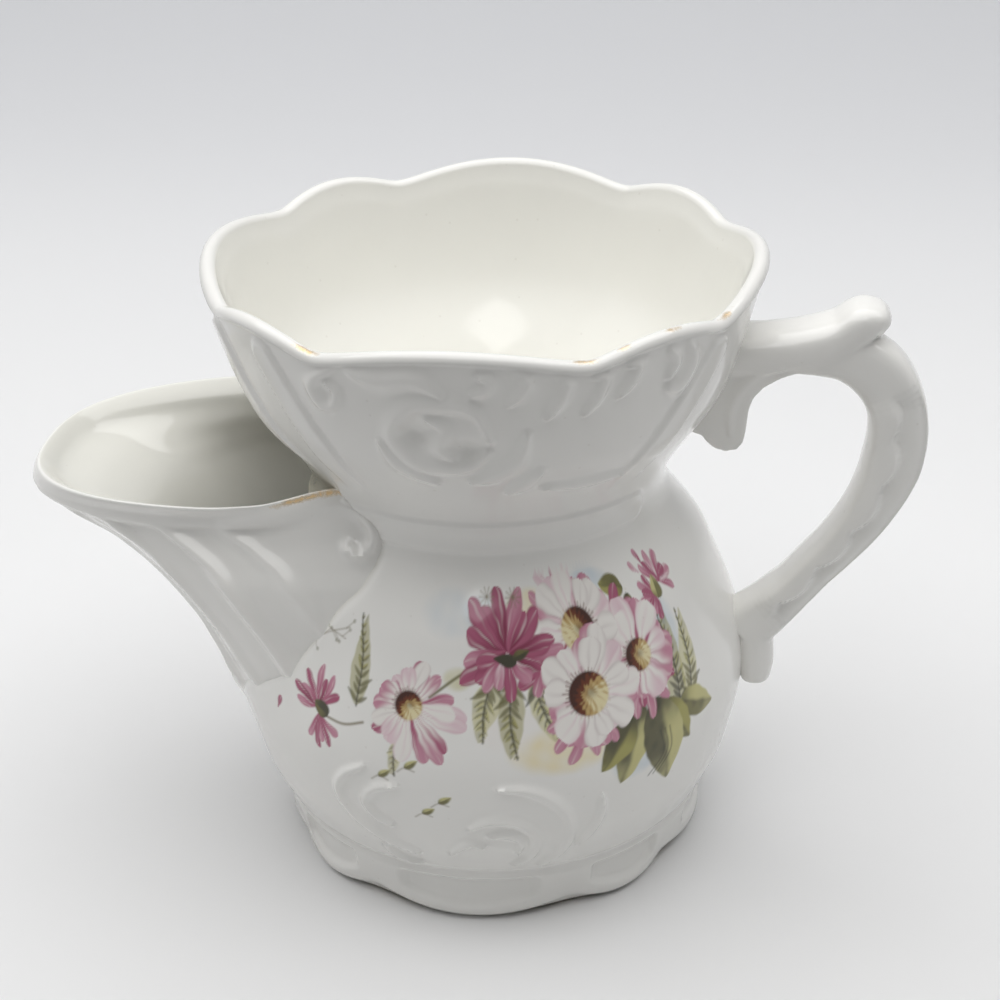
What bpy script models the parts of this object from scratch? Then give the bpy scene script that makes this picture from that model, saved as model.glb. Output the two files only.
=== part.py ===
"""Porcelain shaving scuttle: pot, soap bowl, drainer shelf, brush spout and handle. Metres, +Z up."""

import math

import bmesh
import bpy
from mathutils import Vector

# Body outline, foot to rim: radii of the outer surface, and each station's rise above the one below
FOOT_RADIUS = 0.0348
FOOT_TOP_RADIUS = 0.0362
HAUNCH_RADIUS = 0.0402
BELLY_RADIUS = 0.0424
SHOULDER_RADIUS = 0.0363
WAIST_RADIUS = 0.0287
BULGE_RADIUS = 0.0386
RIM_RADIUS = 0.0434
FOOT_HEIGHT = 0.0090
HAUNCH_RISE = 0.0100
BELLY_RISE = 0.0130
SHOULDER_RISE = 0.0200
WAIST_RISE = 0.0130
BULGE_RISE = 0.0190
RIM_RISE = 0.0160

# Walls and seats
POT_WALL = 0.0030
BOWL_WALL = 0.0027
FLOOR_THICKNESS = 0.0035
LUTE_GAP = 0.0003
JOINT_DROP = 0.0030
LEDGE_WIDTH = 0.0030
LEDGE_THICKNESS = 0.0025

# Standing ring under the foot, and the skirt that flares out above it
RING_WIDTH = 0.0035
RING_INSET = 0.0022
UNDERSIDE_RECESS = 0.0018
SKIRT_ROUND = 0.0008

# Eight lobes round the rim and the foot: four large ones on the axes, four small ones between
SIDE_LOBE_HALF_ANGLE = math.radians(30.0)
FRONT_LOBE_HALF_ANGLE = math.radians(27.5)
LOBE_HEIGHT = 0.0028
SMALL_LOBE_HEIGHT = 0.0021
LOBE_SWELL = 0.0004
LOBE_DEPTH = 0.0180
LOBE_ROUNDNESS = 0.6
FOOT_LOBE_LIFT = 0.0014
FOOT_LOBE_SWELL = 0.0007

# Drainer shelf
SHELF_THICKNESS = 0.0030
DRAIN_DIAMETER = 0.0050
DRAIN_CIRCLE_RADIUS = 0.0125
DRAIN_COUNT = 6
SHELF_EDGE_ROUND = 0.0006

# Brush spout
SPOUT_REACH = 0.0738
SPOUT_LIP_ABOVE_WAIST = 0.0018
SPOUT_TOE_ABOVE_FOOT = 0.0060
SPOUT_TOE_SINK = 0.0006
SPOUT_TOE_HALF_WIDTH = 0.0080
SPOUT_LOWER_HALF_WIDTH = 0.0210
SPOUT_ROOT_HALF_WIDTH = 0.0302
SPOUT_LIP_HALF_WIDTH = 0.0256
SPOUT_WALL = 0.0026
SPOUT_LIP_RISE = 0.0034
SPOUT_LIP_ROLL = 0.0009
SPOUT_ROLL_HEIGHT = 0.0024
SPOUT_LIP_ROUND = 0.0012
SPOUT_LOWER_RISE = 0.0135
SPOUT_ROOT_RISE = 0.0300
SPOUT_END_RISE = 0.0020
SPOUT_END_DEPTH = 0.0104
SPOUT_END_START = 0.0330
SPOUT_END_RUN = 0.0130
SPOUT_CENTRE = 0.0250
SPOUT_LIP_POWER = 2.61
# The keel's course above its toe: the share of the way up, and out from the belly's radius to the lip
SPOUT_KEEL = [
    (0.10, 0.047),
    (0.20, 0.108),
    (0.37, 0.126),
    (0.60, 0.311),
    (0.80, 0.619),
    (0.89, 0.875),
    (0.95, 1.008),
    (1.0, 1.0),
]
FLUTE_COUNT = 9
FLUTE_DEPTH = 0.0010

# Loop handle
HANDLE_REACH = 0.0697
HANDLE_BELOW_RIM = 0.0134
HANDLE_TAIL_BELOW_BELLY = 0.0042
HANDLE_TAIL_LENGTH = 0.0122
HANDLE_THICKNESS = 0.0095
HANDLE_BAR_THICKNESS = 0.0068
HANDLE_LEG_THICKNESS = 0.0066
HANDLE_TAIL_THICKNESS = 0.0066
HANDLE_TIP_THICKNESS = 0.0046
HANDLE_WIDTH = 0.0092
THUMB_LIFT = 0.0052
THUMB_THICKNESS = 0.0060
THUMB_WIDTH = 0.0108
BRACKET_DROP = 0.0157
BRACKET_THICKNESS = 0.0078
BRACKET_WIDTH = 0.0086
BAR_SQUARENESS = 2.8
BAR_FLATNESS = 1.6

# Fineness of the facets
TURN_STEPS = 72
SHELF_STEPS = 48
OUTER_STEP = 0.0038
INNER_STEP = 0.0060
SPOUT_LEVELS = 12
POINTS_PER_FLUTE = 4
CHANNEL_LEVELS = 8
BAR_STEPS = 4
BAR_POINTS = 16
CUT_OVERRUN = 0.0100
WELD = 0.000005

# Heights that follow from the rises
HAUNCH_HEIGHT = FOOT_HEIGHT + HAUNCH_RISE
BELLY_HEIGHT = HAUNCH_HEIGHT + BELLY_RISE
SHOULDER_HEIGHT = BELLY_HEIGHT + SHOULDER_RISE
WAIST_HEIGHT = SHOULDER_HEIGHT + WAIST_RISE
BULGE_HEIGHT = WAIST_HEIGHT + BULGE_RISE
RIM_HEIGHT = BULGE_HEIGHT + RIM_RISE
JOINT_HEIGHT = WAIST_HEIGHT - JOINT_DROP
BOWL_BASE = JOINT_HEIGHT + LUTE_GAP
LEDGE_TOP = BOWL_BASE + LEDGE_THICKNESS
SEAT_RADIUS = WAIST_RADIUS - BOWL_WALL
SHELF_BASE = LEDGE_TOP + LUTE_GAP
SHELF_TOP = SHELF_BASE + SHELF_THICKNESS
POT_FLOOR = UNDERSIDE_RECESS + FLOOR_THICKNESS
SPOUT_TOE_HEIGHT = FOOT_HEIGHT + SPOUT_TOE_ABOVE_FOOT
SPOUT_LIP_HEIGHT = WAIST_HEIGHT + SPOUT_LIP_ABOVE_WAIST

# The spout reaches further than the handle, so the body's axis stands off the middle of the whole
AXIS_X = (SPOUT_REACH + SPOUT_LIP_ROLL - HANDLE_REACH) / 2

STATIONS = [
    (0.0, FOOT_RADIUS),
    (FOOT_HEIGHT, FOOT_TOP_RADIUS),
    (HAUNCH_HEIGHT, HAUNCH_RADIUS),
    (BELLY_HEIGHT, BELLY_RADIUS),
    (SHOULDER_HEIGHT, SHOULDER_RADIUS),
    (WAIST_HEIGHT, WAIST_RADIUS),
    (BULGE_HEIGHT, BULGE_RADIUS),
    (RIM_HEIGHT, RIM_RADIUS),
]


def clear_scene():
    for obj in list(bpy.data.objects):
        bpy.data.objects.remove(obj, do_unlink=True)


def new_collection(name, shown):
    collection = bpy.data.collections.new(name)
    collection.hide_render = not shown
    bpy.context.scene.collection.children.link(collection)
    return collection


def smooth_through(stations, at):
    """A curve through the stations that never overshoots them: flat at each peak and dip."""
    spans = [b[0] - a[0] for a, b in zip(stations, stations[1:])]
    rises = [(b[1] - a[1]) / h for a, b, h in zip(stations, stations[1:], spans)]
    slopes = [rises[0]]
    for before, after in zip(rises, rises[1:]):
        same_way = before * after > 0
        slopes.append(2 * before * after / (before + after) if same_way else 0.0)
    slopes.append(rises[-1])
    at = min(max(at, stations[0][0]), stations[-1][0])
    i = max(k for k in range(len(spans)) if k == 0 or stations[k][0] <= at)
    t = (at - stations[i][0]) / spans[i]
    start = stations[i][1] * (2 * t**3 - 3 * t**2 + 1) + spans[i] * slopes[i] * (t**3 - 2 * t**2 + t)
    end = stations[i + 1][1] * (3 * t**2 - 2 * t**3) + spans[i] * slopes[i + 1] * (t**3 - t**2)
    return start + end


def ease(t):
    t = min(max(t, 0.0), 1.0)
    return t * t * (3 - 2 * t)


def body_radius(z):
    return smooth_through(STATIONS, z)


def heights(low, high, step=OUTER_STEP):
    count = max(2, round((high - low) / step))
    return [low + (high - low) * k / count for k in range(count + 1)]


def lobe(third):
    """(share of a full lobe, that lobe's height at the rim) at a place in a quarter, 0 to 3 in thirds."""
    height = SMALL_LOBE_HEIGHT if 1 < third < 2 else LOBE_HEIGHT
    across = abs(2 * third - 3) if 1 < third < 2 else min(third, 3 - third)
    return max(0.0, math.cos(across * math.pi / 2)) ** LOBE_ROUNDNESS, height


def lobe_angle(third):
    """The angle from the X axis at such a place: a notch stands at each whole third."""
    small_lobe = math.pi / 2 - SIDE_LOBE_HALF_ANGLE - FRONT_LOBE_HALF_ANGLE
    if third <= 1:
        return third * SIDE_LOBE_HALF_ANGLE
    if third <= 2:
        return SIDE_LOBE_HALF_ANGLE + (third - 1) * small_lobe
    return math.pi / 2 - (3 - third) * FRONT_LOBE_HALF_ANGLE


def shape_lobes(mesh):
    """Swell a turned mesh into lobes: raised along the rim, lifted between them along the foot's skirt."""
    ring_edge = FOOT_RADIUS - RING_INSET
    for vertex in mesh.vertices:
        x, y, z = vertex.co
        radius = math.hypot(x, y)
        if radius == 0.0:
            continue
        third = math.atan2(abs(y), abs(x)) / (math.pi / 6)
        share, height = lobe(third)
        angle = lobe_angle(third)
        near_rim = ease((z - RIM_HEIGHT + LOBE_DEPTH) / LOBE_DEPTH)
        near_foot = ease(1 - z / FOOT_HEIGHT) * ease((radius - ring_edge) / RING_INSET)
        swell = near_rim * LOBE_SWELL * share + near_foot * FOOT_LOBE_SWELL * share
        lift = near_rim * height * share + near_foot * FOOT_LOBE_LIFT * (1 - share)
        radius += swell
        x = math.copysign(radius * math.cos(angle), x)
        y = math.copysign(radius * math.sin(angle), y)
        vertex.co = (x, y, z + lift)


def leave_collections(obj):
    for collection in list(obj.users_collection):
        collection.objects.unlink(obj)


def place(obj, collection, axis, helper=False):
    collection.objects.link(obj)
    obj.parent = axis
    if helper:
        obj.hide_render = True
        obj.display_type = "WIRE"
    return obj


def frozen_mesh(obj):
    """The evaluated mesh of an object that isn't kept, with loose caps and seams welded."""
    bpy.context.view_layer.update()
    graph = bpy.context.evaluated_depsgraph_get()
    mesh = bpy.data.meshes.new_from_object(obj.evaluated_get(graph))
    mesh.transform(obj.matrix_world)
    work = bmesh.new()
    work.from_mesh(mesh)
    bmesh.ops.remove_doubles(work, verts=work.verts, dist=WELD)
    bmesh.ops.recalc_face_normals(work, faces=work.faces)
    work.to_mesh(mesh)
    work.free()
    data = obj.data
    bpy.data.objects.remove(obj, do_unlink=True)
    bpy.data.meshes.remove(data)
    return mesh


def turned(profile, steps=TURN_STEPS, closed=False):
    """The mesh of a profile of (radius, height) points turned round Z."""
    count = len(profile)
    edges = [(k, k + 1) for k in range(count - 1)] + ([(count - 1, 0)] if closed else [])
    mesh = bpy.data.meshes.new("profile")
    mesh.from_pydata([(r, 0.0, z) for r, z in profile], edges, [])
    obj = bpy.data.objects.new("profile", mesh)
    bpy.context.scene.collection.objects.link(obj)
    screw = obj.modifiers.new("turn", "SCREW")
    screw.axis = "Z"
    screw.steps = steps
    screw.render_steps = steps
    screw.use_merge_vertices = True
    screw.merge_threshold = WELD
    return frozen_mesh(obj)


def loft(name, sections):
    """The mesh that joins closed sections of as many points each, with its two ends filled."""
    work = bmesh.new()
    rings = [[work.verts.new(point) for point in section] for section in sections]
    for low, high in zip(rings, rings[1:]):
        for k in range(len(low)):
            after = (k + 1) % len(low)
            work.faces.new((low[k], low[after], high[after], high[k]))
    work.faces.new(rings[0])
    work.faces.new(rings[-1])
    bmesh.ops.recalc_face_normals(work, faces=work.faces)
    mesh = bpy.data.meshes.new(name)
    work.to_mesh(mesh)
    work.free()
    return mesh


def bar(name, stations, width):
    """The mesh of a bar along (x, z, thickness) stations in the XZ plane, with soft square sections."""
    along = [0.0]
    for (x0, z0, _), (x1, z1, _) in zip(stations, stations[1:]):
        along.append(along[-1] + math.hypot(x1 - x0, z1 - z0))
    tracks = [[(t, station[k]) for t, station in zip(along, stations)] for k in range(3)]
    steps = [a + (b - a) * k / BAR_STEPS for a, b in zip(along, along[1:]) for k in range(BAR_STEPS)]
    sections = []
    for t in steps + [along[-1]]:
        x, z, thickness = (smooth_through(track, t) for track in tracks)
        ahead = [smooth_through(track, t + WELD) for track in tracks[:2]]
        behind = [smooth_through(track, t - WELD) for track in tracks[:2]]
        run, climb = (a - b for a, b in zip(ahead, behind))
        length = math.hypot(run, climb)
        wide = min(width, BAR_FLATNESS * thickness)  # narrower where it thins out to a tip
        section = []
        for k in range(BAR_POINTS):
            turn = 2 * math.pi * k / BAR_POINTS
            out = math.copysign(abs(math.cos(turn)) ** (2 / BAR_SQUARENESS), math.cos(turn)) * thickness / 2
            across = math.copysign(abs(math.sin(turn)) ** (2 / BAR_SQUARENESS), math.sin(turn)) * wide / 2
            section.append((x - out * climb / length, across, z + out * run / length))
        sections.append(section)
    return loft(name, sections)


def boolean(obj, other, operation):
    modifier = obj.modifiers.new(f"{operation.lower()} {other.name}", "BOOLEAN")
    modifier.operation = operation
    modifier.solver = "EXACT"
    modifier.object = other


def glaze(obj, colour, roughness):
    material = bpy.data.materials.new(obj.name + "_glaze")
    material.use_nodes = True
    shader = material.node_tree.nodes["Principled BSDF"]
    shader.inputs["Base Color"].default_value = (*colour, 1.0)
    shader.inputs["Roughness"].default_value = roughness
    shader.inputs["Metallic"].default_value = 0.0
    obj.data.materials.clear()
    obj.data.materials.append(material)
    obj.data.shade_smooth()
    obj.data.set_sharp_from_angle(angle=math.radians(40))


def pot_mesh():
    ring_outer = FOOT_RADIUS - RING_INSET
    ring_inner = ring_outer - RING_WIDTH
    corner = FOOT_TOP_RADIUS - POT_WALL
    inside = [(corner - 2 * FLOOR_THICKNESS, POT_FLOOR)]
    inside += [(corner - FLOOR_THICKNESS / 2, POT_FLOOR + FLOOR_THICKNESS / 2)]
    wall = heights(POT_FLOOR + FLOOR_THICKNESS * 1.5, JOINT_HEIGHT, INNER_STEP)
    inside += [(body_radius(z) - POT_WALL, z) for z in wall]
    outside = [(body_radius(z), z) for z in reversed(heights(SKIRT_ROUND * 2, JOINT_HEIGHT))]
    skirt = [(FOOT_RADIUS - SKIRT_ROUND / 2, SKIRT_ROUND), (FOOT_RADIUS - RING_INSET / 2, SKIRT_ROUND / 2)]
    under = [(ring_outer, 0.0), (ring_inner, 0.0), (ring_inner - UNDERSIDE_RECESS, UNDERSIDE_RECESS)]
    profile = [(0.0, POT_FLOOR)] + inside + outside + skirt + under + [(0.0, UNDERSIDE_RECESS)]
    mesh = turned(profile)
    shape_lobes(mesh)
    return mesh


def bowl_mesh():
    lip = BOWL_WALL / 2
    lip_centre = RIM_RADIUS - lip
    round_lip = [
        (lip_centre + lip * math.cos(math.radians(a)), RIM_HEIGHT - lip + lip * math.sin(math.radians(a)))
        for a in (150, 120, 90, 60, 30)
    ]
    wall = heights(SHELF_TOP + LEDGE_THICKNESS, RIM_HEIGHT - lip, INNER_STEP)
    inside = [(SEAT_RADIUS, LEDGE_TOP), (SEAT_RADIUS, SHELF_TOP)]
    inside += [(body_radius(z) - BOWL_WALL, z) for z in wall]
    outside = [(body_radius(z), z) for z in reversed(heights(BOWL_BASE, RIM_HEIGHT - lip))]
    ledge = SEAT_RADIUS - LEDGE_WIDTH
    profile = inside + round_lip + outside + [(ledge, BOWL_BASE), (ledge, LEDGE_TOP)]
    mesh = turned(profile, closed=True)
    shape_lobes(mesh)
    return mesh


def envelope_mesh():
    """The whole body as one solid, larger by the luting gap: it trims what is stuck to the body."""
    side = [(body_radius(z) + LUTE_GAP, z) for z in reversed(heights(0.0, RIM_HEIGHT))]
    mesh = turned([(0.0, RIM_HEIGHT)] + side + [(0.0, 0.0)])
    shape_lobes(mesh)
    return mesh


def shelf_object():
    bpy.ops.mesh.primitive_cylinder_add(
        vertices=SHELF_STEPS,
        radius=SEAT_RADIUS - LUTE_GAP,
        depth=SHELF_THICKNESS,
        location=(0.0, 0.0, (SHELF_BASE + SHELF_TOP) / 2),
    )
    shelf = bpy.context.object
    shelf.name = "soap_shelf"
    leave_collections(shelf)
    edge = shelf.modifiers.new("rounded edge", "BEVEL")
    edge.width = SHELF_EDGE_ROUND
    edge.segments = 2
    edge.limit_method = "ANGLE"
    return shelf


def drain_cutters(cutters, axis):
    places = [(0.0, 0.0)]
    for k in range(DRAIN_COUNT):
        angle = 2 * math.pi * k / DRAIN_COUNT
        places.append((DRAIN_CIRCLE_RADIUS * math.cos(angle), DRAIN_CIRCLE_RADIUS * math.sin(angle)))
    drains = []
    for k, (x, y) in enumerate(places):
        mesh = bpy.data.meshes.new(f"drain_{k}")
        work = bmesh.new()
        bmesh.ops.create_cone(
            work,
            cap_ends=True,
            segments=16,
            radius1=DRAIN_DIAMETER / 2,
            radius2=DRAIN_DIAMETER / 2,
            depth=SHELF_THICKNESS + CUT_OVERRUN,
        )
        bmesh.ops.translate(work, verts=work.verts, vec=Vector((x, y, (SHELF_BASE + SHELF_TOP) / 2)))
        work.to_mesh(mesh)
        work.free()
        drains.append(place(bpy.data.objects.new(f"drain_{k}", mesh), cutters, axis, helper=True))
    return drains


def spout_reach(share):
    """How far the keel stands from the body's axis: share 0 is the spout's toe, share 1 its lip."""
    keel = [(0.0, body_radius(SPOUT_TOE_HEIGHT) - SPOUT_TOE_SINK)]
    keel += [(up, BELLY_RADIUS + (SPOUT_REACH - BELLY_RADIUS) * out) for up, out in SPOUT_KEEL]
    return smooth_through(keel, share)


def spout_section(share, inset, back, fluted):
    """One level of the spout, toe (share 0) to lip (share 1): a rounded U open towards the body."""
    height = SPOUT_LIP_HEIGHT - SPOUT_TOE_HEIGHT
    below_lip = (1 - share) * height
    edge = math.sqrt(1 - max(0.0, 1 - below_lip / SPOUT_LIP_ROUND) ** 2)
    roll = SPOUT_LIP_ROLL * math.exp(-(((below_lip - SPOUT_ROLL_HEIGHT / 2) / SPOUT_ROLL_HEIGHT) ** 2))
    roll -= SPOUT_LIP_ROUND * (1 - edge)
    slope = (spout_reach(share + WELD) - spout_reach(share - WELD)) / (2 * WELD * height)
    reach = spout_reach(share) - inset * math.hypot(1, slope)  # keeps the wall's thickness where it flares
    widths = [
        (0.0, SPOUT_TOE_HALF_WIDTH),
        (SPOUT_LOWER_RISE, SPOUT_LOWER_HALF_WIDTH),
        (SPOUT_ROOT_RISE, SPOUT_ROOT_HALF_WIDTH),
        (height, SPOUT_LIP_HALF_WIDTH),
    ]
    half_width = smooth_through(widths, share * height) - inset
    squareness = 2 / (2 + (SPOUT_LIP_POWER - 2) * ease(2 * share - 1))
    count = FLUTE_COUNT * POINTS_PER_FLUTE
    fade = math.sin(math.pi * share) ** 0.5 if fluted and 0 < share < 1 else 0.0
    points = [(-back, -half_width)]
    for k in range(count + 1):
        turn = math.pi * (k / count - 0.5)
        groove = 1 - abs(math.cos(FLUTE_COUNT * (turn + math.pi / 2)))
        out = (0.0 if inset else roll) - FLUTE_DEPTH * fade * groove
        along = abs(math.cos(turn)) ** squareness
        across = math.copysign(abs(math.sin(turn)) ** squareness, turn)
        points.append((-SPOUT_CENTRE - (reach - SPOUT_CENTRE + out) * along, (half_width + out) * across))
    points.append((-back, half_width))
    rise = SPOUT_LIP_RISE * share
    end_rise = SPOUT_END_RISE * ease(1 - below_lip / SPOUT_END_DEPTH)
    section = []
    for x, y in points:
        at_end = end_rise * ease((x + SPOUT_END_START) / SPOUT_END_RUN)
        lift = rise * (SPOUT_REACH + x) / SPOUT_REACH + at_end
        section.append((x, y, SPOUT_TOE_HEIGHT + share * height + lift))
    return section


def spout_mesh():
    shares = [k / SPOUT_LEVELS for k in range(SPOUT_LEVELS)]
    height = SPOUT_LIP_HEIGHT - SPOUT_TOE_HEIGHT
    shares += [1 - SPOUT_ROLL_HEIGHT / height * k for k in (1.0, 0.5, 0.2, 0.0)]
    back = SPOUT_CENTRE / 3
    return loft("spout", [spout_section(share, 0.0, back, True) for share in sorted(shares)])


def channel_mesh():
    """The hollow of the spout, run on past its lip above and into the pot behind."""
    lowest = 2 * SPOUT_WALL / (SPOUT_LIP_HEIGHT - SPOUT_TOE_HEIGHT)
    levels = [lowest + (1 - lowest) * k / CHANNEL_LEVELS for k in range(CHANNEL_LEVELS + 1)]
    back = SPOUT_CENTRE / 4
    sections = [spout_section(share, SPOUT_WALL, back, False) for share in levels]
    sections.append([(x, y, z + CUT_OVERRUN) for x, y, z in sections[-1]])
    return loft("channel", sections)


def handle_frame():
    """Where the handle lies: its loop's inner and outer x, the heights of its tail's tip and top bar."""
    outer = HANDLE_REACH - HANDLE_THICKNESS / 2
    return BELLY_RADIUS, outer, BELLY_HEIGHT - HANDLE_TAIL_BELOW_BELLY, RIM_HEIGHT - HANDLE_BELOW_RIM


def loop_mesh():
    """The bent strap, from inside the top bar round and down to the leg that runs into the pot."""
    inner, outer, low, high = handle_frame()
    bend, leg = HANDLE_THICKNESS, HANDLE_LEG_THICKNESS
    loop = [
        (0.16, 0.995, HANDLE_BAR_THICKNESS * 0.75),
        (0.43, 1.000, HANDLE_BAR_THICKNESS),
        (0.64, 0.997, bend * 0.90),
        (0.82, 0.959, bend),
        (0.95, 0.881, bend),
        (1.00, 0.784, bend),
        (0.97, 0.687, bend),
        (0.85, 0.561, (bend + leg) / 2),
        (0.62, 0.423, leg),
        (0.34, 0.289, leg),
        (-0.02, 0.153, leg * 1.3),
    ]
    points = [(inner + (outer - inner) * x, low + (high - low) * z, thickness) for x, z, thickness in loop]
    return bar("loop", points, HANDLE_WIDTH)


def arm_mesh():
    """The top bar, which climbs from the bowl to a knob for the thumb above the bend."""
    inner, outer, _, high = handle_frame()
    arm, knob = HANDLE_BAR_THICKNESS, THUMB_THICKNESS
    climb = [
        (0.07, 0.13, arm),
        (0.35, 0.33, arm),
        (0.57, 0.70, knob),
        (0.72, 1.0, knob),
        (0.82, 0.94, knob * 0.7),
    ]
    points = [(body_radius(high) - BOWL_WALL, high, arm)]
    for across, lift, thickness in climb:
        points.append((inner + (outer - inner) * across, high + THUMB_LIFT * lift, thickness))
    return bar("thumb_arm", points, THUMB_WIDTH)


def tail_mesh():
    """The tail that hangs on down the pot's wall from the foot of the leg."""
    _, _, low, _ = handle_frame()
    thick = HANDLE_TAIL_THICKNESS
    points = []
    for rise, thickness in ((1.0, thick), (0.55, thick), (0.2, thick), (0.0, HANDLE_TIP_THICKNESS)):
        z = low + HANDLE_TAIL_LENGTH * rise
        points.append((body_radius(z) + thick / 3, z, thickness))
    return bar("tail", points, HANDLE_WIDTH)


def bracket_mesh():
    """The leaf under the top bar: it hangs away from the bowl's wall and ends in a round tip."""
    _, _, _, high = handle_frame()
    thick = BRACKET_THICKNESS
    leaf = [
        (0.0, 0.2, 1.6),
        (0.25, 0.18, 1.4),
        (0.52, 0.26, 1.1),
        (0.74, 0.49, 1.0),
        (0.9, 0.76, 0.72),
        (1.0, 0.88, 0.34),
    ]
    points = []
    for drop, stand, thickness in leaf:
        z = high - BRACKET_DROP * drop
        points.append((body_radius(z) + thick * stand, z, thick * thickness))
    return bar("bracket_leaf", points, BRACKET_WIDTH)


def main():
    clear_scene()
    scuttle = new_collection("shaving_scuttle", shown=True)
    cutters = new_collection("shaving_scuttle_cutters", shown=False)
    axis = bpy.data.objects.new("body_axis", None)
    axis.location = (AXIS_X, 0.0, 0.0)
    scuttle.objects.link(axis)

    envelope = place(bpy.data.objects.new("envelope", envelope_mesh()), cutters, axis, helper=True)
    channel = place(bpy.data.objects.new("channel", channel_mesh()), cutters, axis, helper=True)
    arm = place(bpy.data.objects.new("thumb_arm", arm_mesh()), cutters, axis, helper=True)
    tail = place(bpy.data.objects.new("tail", tail_mesh()), cutters, axis, helper=True)
    bracket = place(bpy.data.objects.new("bracket_leaf", bracket_mesh()), cutters, axis, helper=True)

    pot = place(bpy.data.objects.new("lower_pot", pot_mesh()), scuttle, axis)
    boolean(pot, channel, "DIFFERENCE")

    bowl = place(bpy.data.objects.new("soap_bowl", bowl_mesh()), scuttle, axis)

    shelf = place(shelf_object(), scuttle, axis)
    for drain in drain_cutters(cutters, axis):
        boolean(shelf, drain, "DIFFERENCE")

    spout = place(bpy.data.objects.new("spout", spout_mesh()), scuttle, axis)
    boolean(spout, channel, "DIFFERENCE")
    boolean(spout, envelope, "DIFFERENCE")

    handle = place(bpy.data.objects.new("handle", loop_mesh()), scuttle, axis)
    for bar_part in (arm, tail, bracket):
        boolean(handle, bar_part, "UNION")
    boolean(handle, envelope, "DIFFERENCE")

    for piece in (pot, bowl, spout, handle):
        glaze(piece, colour=(0.86, 0.86, 0.84), roughness=0.12)
    glaze(shelf, colour=(0.88, 0.86, 0.80), roughness=0.16)


main()
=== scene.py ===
import math

import bmesh
import bpy
import numpy as np
from mathutils import Matrix, Vector, kdtree


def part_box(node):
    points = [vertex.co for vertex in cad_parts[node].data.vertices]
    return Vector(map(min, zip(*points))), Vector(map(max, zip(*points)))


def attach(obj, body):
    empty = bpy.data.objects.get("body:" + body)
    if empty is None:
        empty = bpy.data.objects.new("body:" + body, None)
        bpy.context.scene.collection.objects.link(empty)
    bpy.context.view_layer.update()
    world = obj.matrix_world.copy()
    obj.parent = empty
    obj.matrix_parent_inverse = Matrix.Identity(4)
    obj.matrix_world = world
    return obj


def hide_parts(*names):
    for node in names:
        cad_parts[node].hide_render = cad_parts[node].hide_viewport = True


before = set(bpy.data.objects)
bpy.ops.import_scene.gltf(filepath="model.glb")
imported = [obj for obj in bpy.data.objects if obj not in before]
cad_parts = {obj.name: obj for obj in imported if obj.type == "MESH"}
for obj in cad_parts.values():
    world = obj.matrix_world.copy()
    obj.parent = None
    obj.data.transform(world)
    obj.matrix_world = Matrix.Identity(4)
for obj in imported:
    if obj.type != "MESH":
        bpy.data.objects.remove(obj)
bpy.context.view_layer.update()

mm = 0.001
shelfLow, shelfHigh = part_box("soap_shelf")
axisX = (shelfLow.x + shelfHigh.x) / 2  # the body's own axis stands off the middle of the whole
axis = np.array([axisX, 0, 0])
print("frame loaded, nodes:", sorted(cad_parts))


# the turned body: (height, radius) in mm round its own axis, foot to rim
body = {
    "outline": [
        (0, 34.8), (9, 36.2), (19, 40.2), (32, 42.4),
        (52, 36.3), (65, 28.7), (84, 38.6), (100, 43.4),
    ],
    "seam": 62.15,  # where the pot ends and the bowl begins
    "rim": 100.0,  # where the outline ends, under the lobes
    "sideLobe": 30.0,  # half angles of the rim's big lobes
    "frontLobe": 27.5,
    "lobeRise": 2.8,
    "smallLobeRise": 2.1,
    "lobeSwell": 0.4,
    "lobeDepth": 18.0,
    "lobeRoundness": 0.8,
    "notchSoft": 0.06,
    "footHeight": 9.0,
    "footLift": 1.9,
    "footSwell": 0.7,
    "ringEdge": 32.6,
    "footRound": 2.2,
    "potWall": 3.0,
    "bowlWall": 2.7,
    "sunk": 1.3,  # how deep the spout and the handle are let into the wall
}


def ease(t):
    t = np.clip(t, 0.0, 1.0)
    return t * t * (3 - 2 * t)


def bell(t):
    return np.exp(-(t**2))


def mix(first, second, share):
    share = np.asarray(share)[..., None]
    return first * (1 - share) + second * share


def fullTurn(count):
    return np.linspace(0, 2 * np.pi, count, endpoint=False)


def aim(degrees):
    return math.cos(math.radians(degrees)), math.sin(math.radians(degrees))


def away(place, degrees, reach):
    # a place some way off; the reach may differ across and up
    return tuple(np.add(place, np.multiply(reach, aim(degrees))))


def hermite(t, span, first, last, leave, arrive):
    # a cubic between two values, by the slopes at both ends
    start = first * (2 * t**3 - 3 * t**2 + 1) + span * leave * (t**3 - 2 * t**2 + t)
    end = last * (3 * t**2 - 2 * t**3) + span * arrive * (t**3 - t**2)
    return start + end


def smoothThrough(stations, at):
    # a curve through stations that never swings past them
    x, y = np.array(stations, float).T
    span = np.diff(x)
    rise = np.diff(y) / span
    before, after = rise[:-1], rise[1:]
    total = before + after
    level = np.where(before * after > 0, 2 * before * after / np.where(total == 0, 1, total), 0)
    slope = np.concatenate([rise[:1], level, rise[-1:]])
    at = np.clip(np.asarray(at, float), x[0], x[-1])
    i = np.clip(np.searchsorted(x, at, side="right") - 1, 0, len(span) - 1)
    t = (at - x[i]) / span[i]
    return hermite(t, span[i], y[i], y[i + 1], slope[i], slope[i + 1])


def bodyRadius(z):
    return smoothThrough(body["outline"], z)


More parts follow.
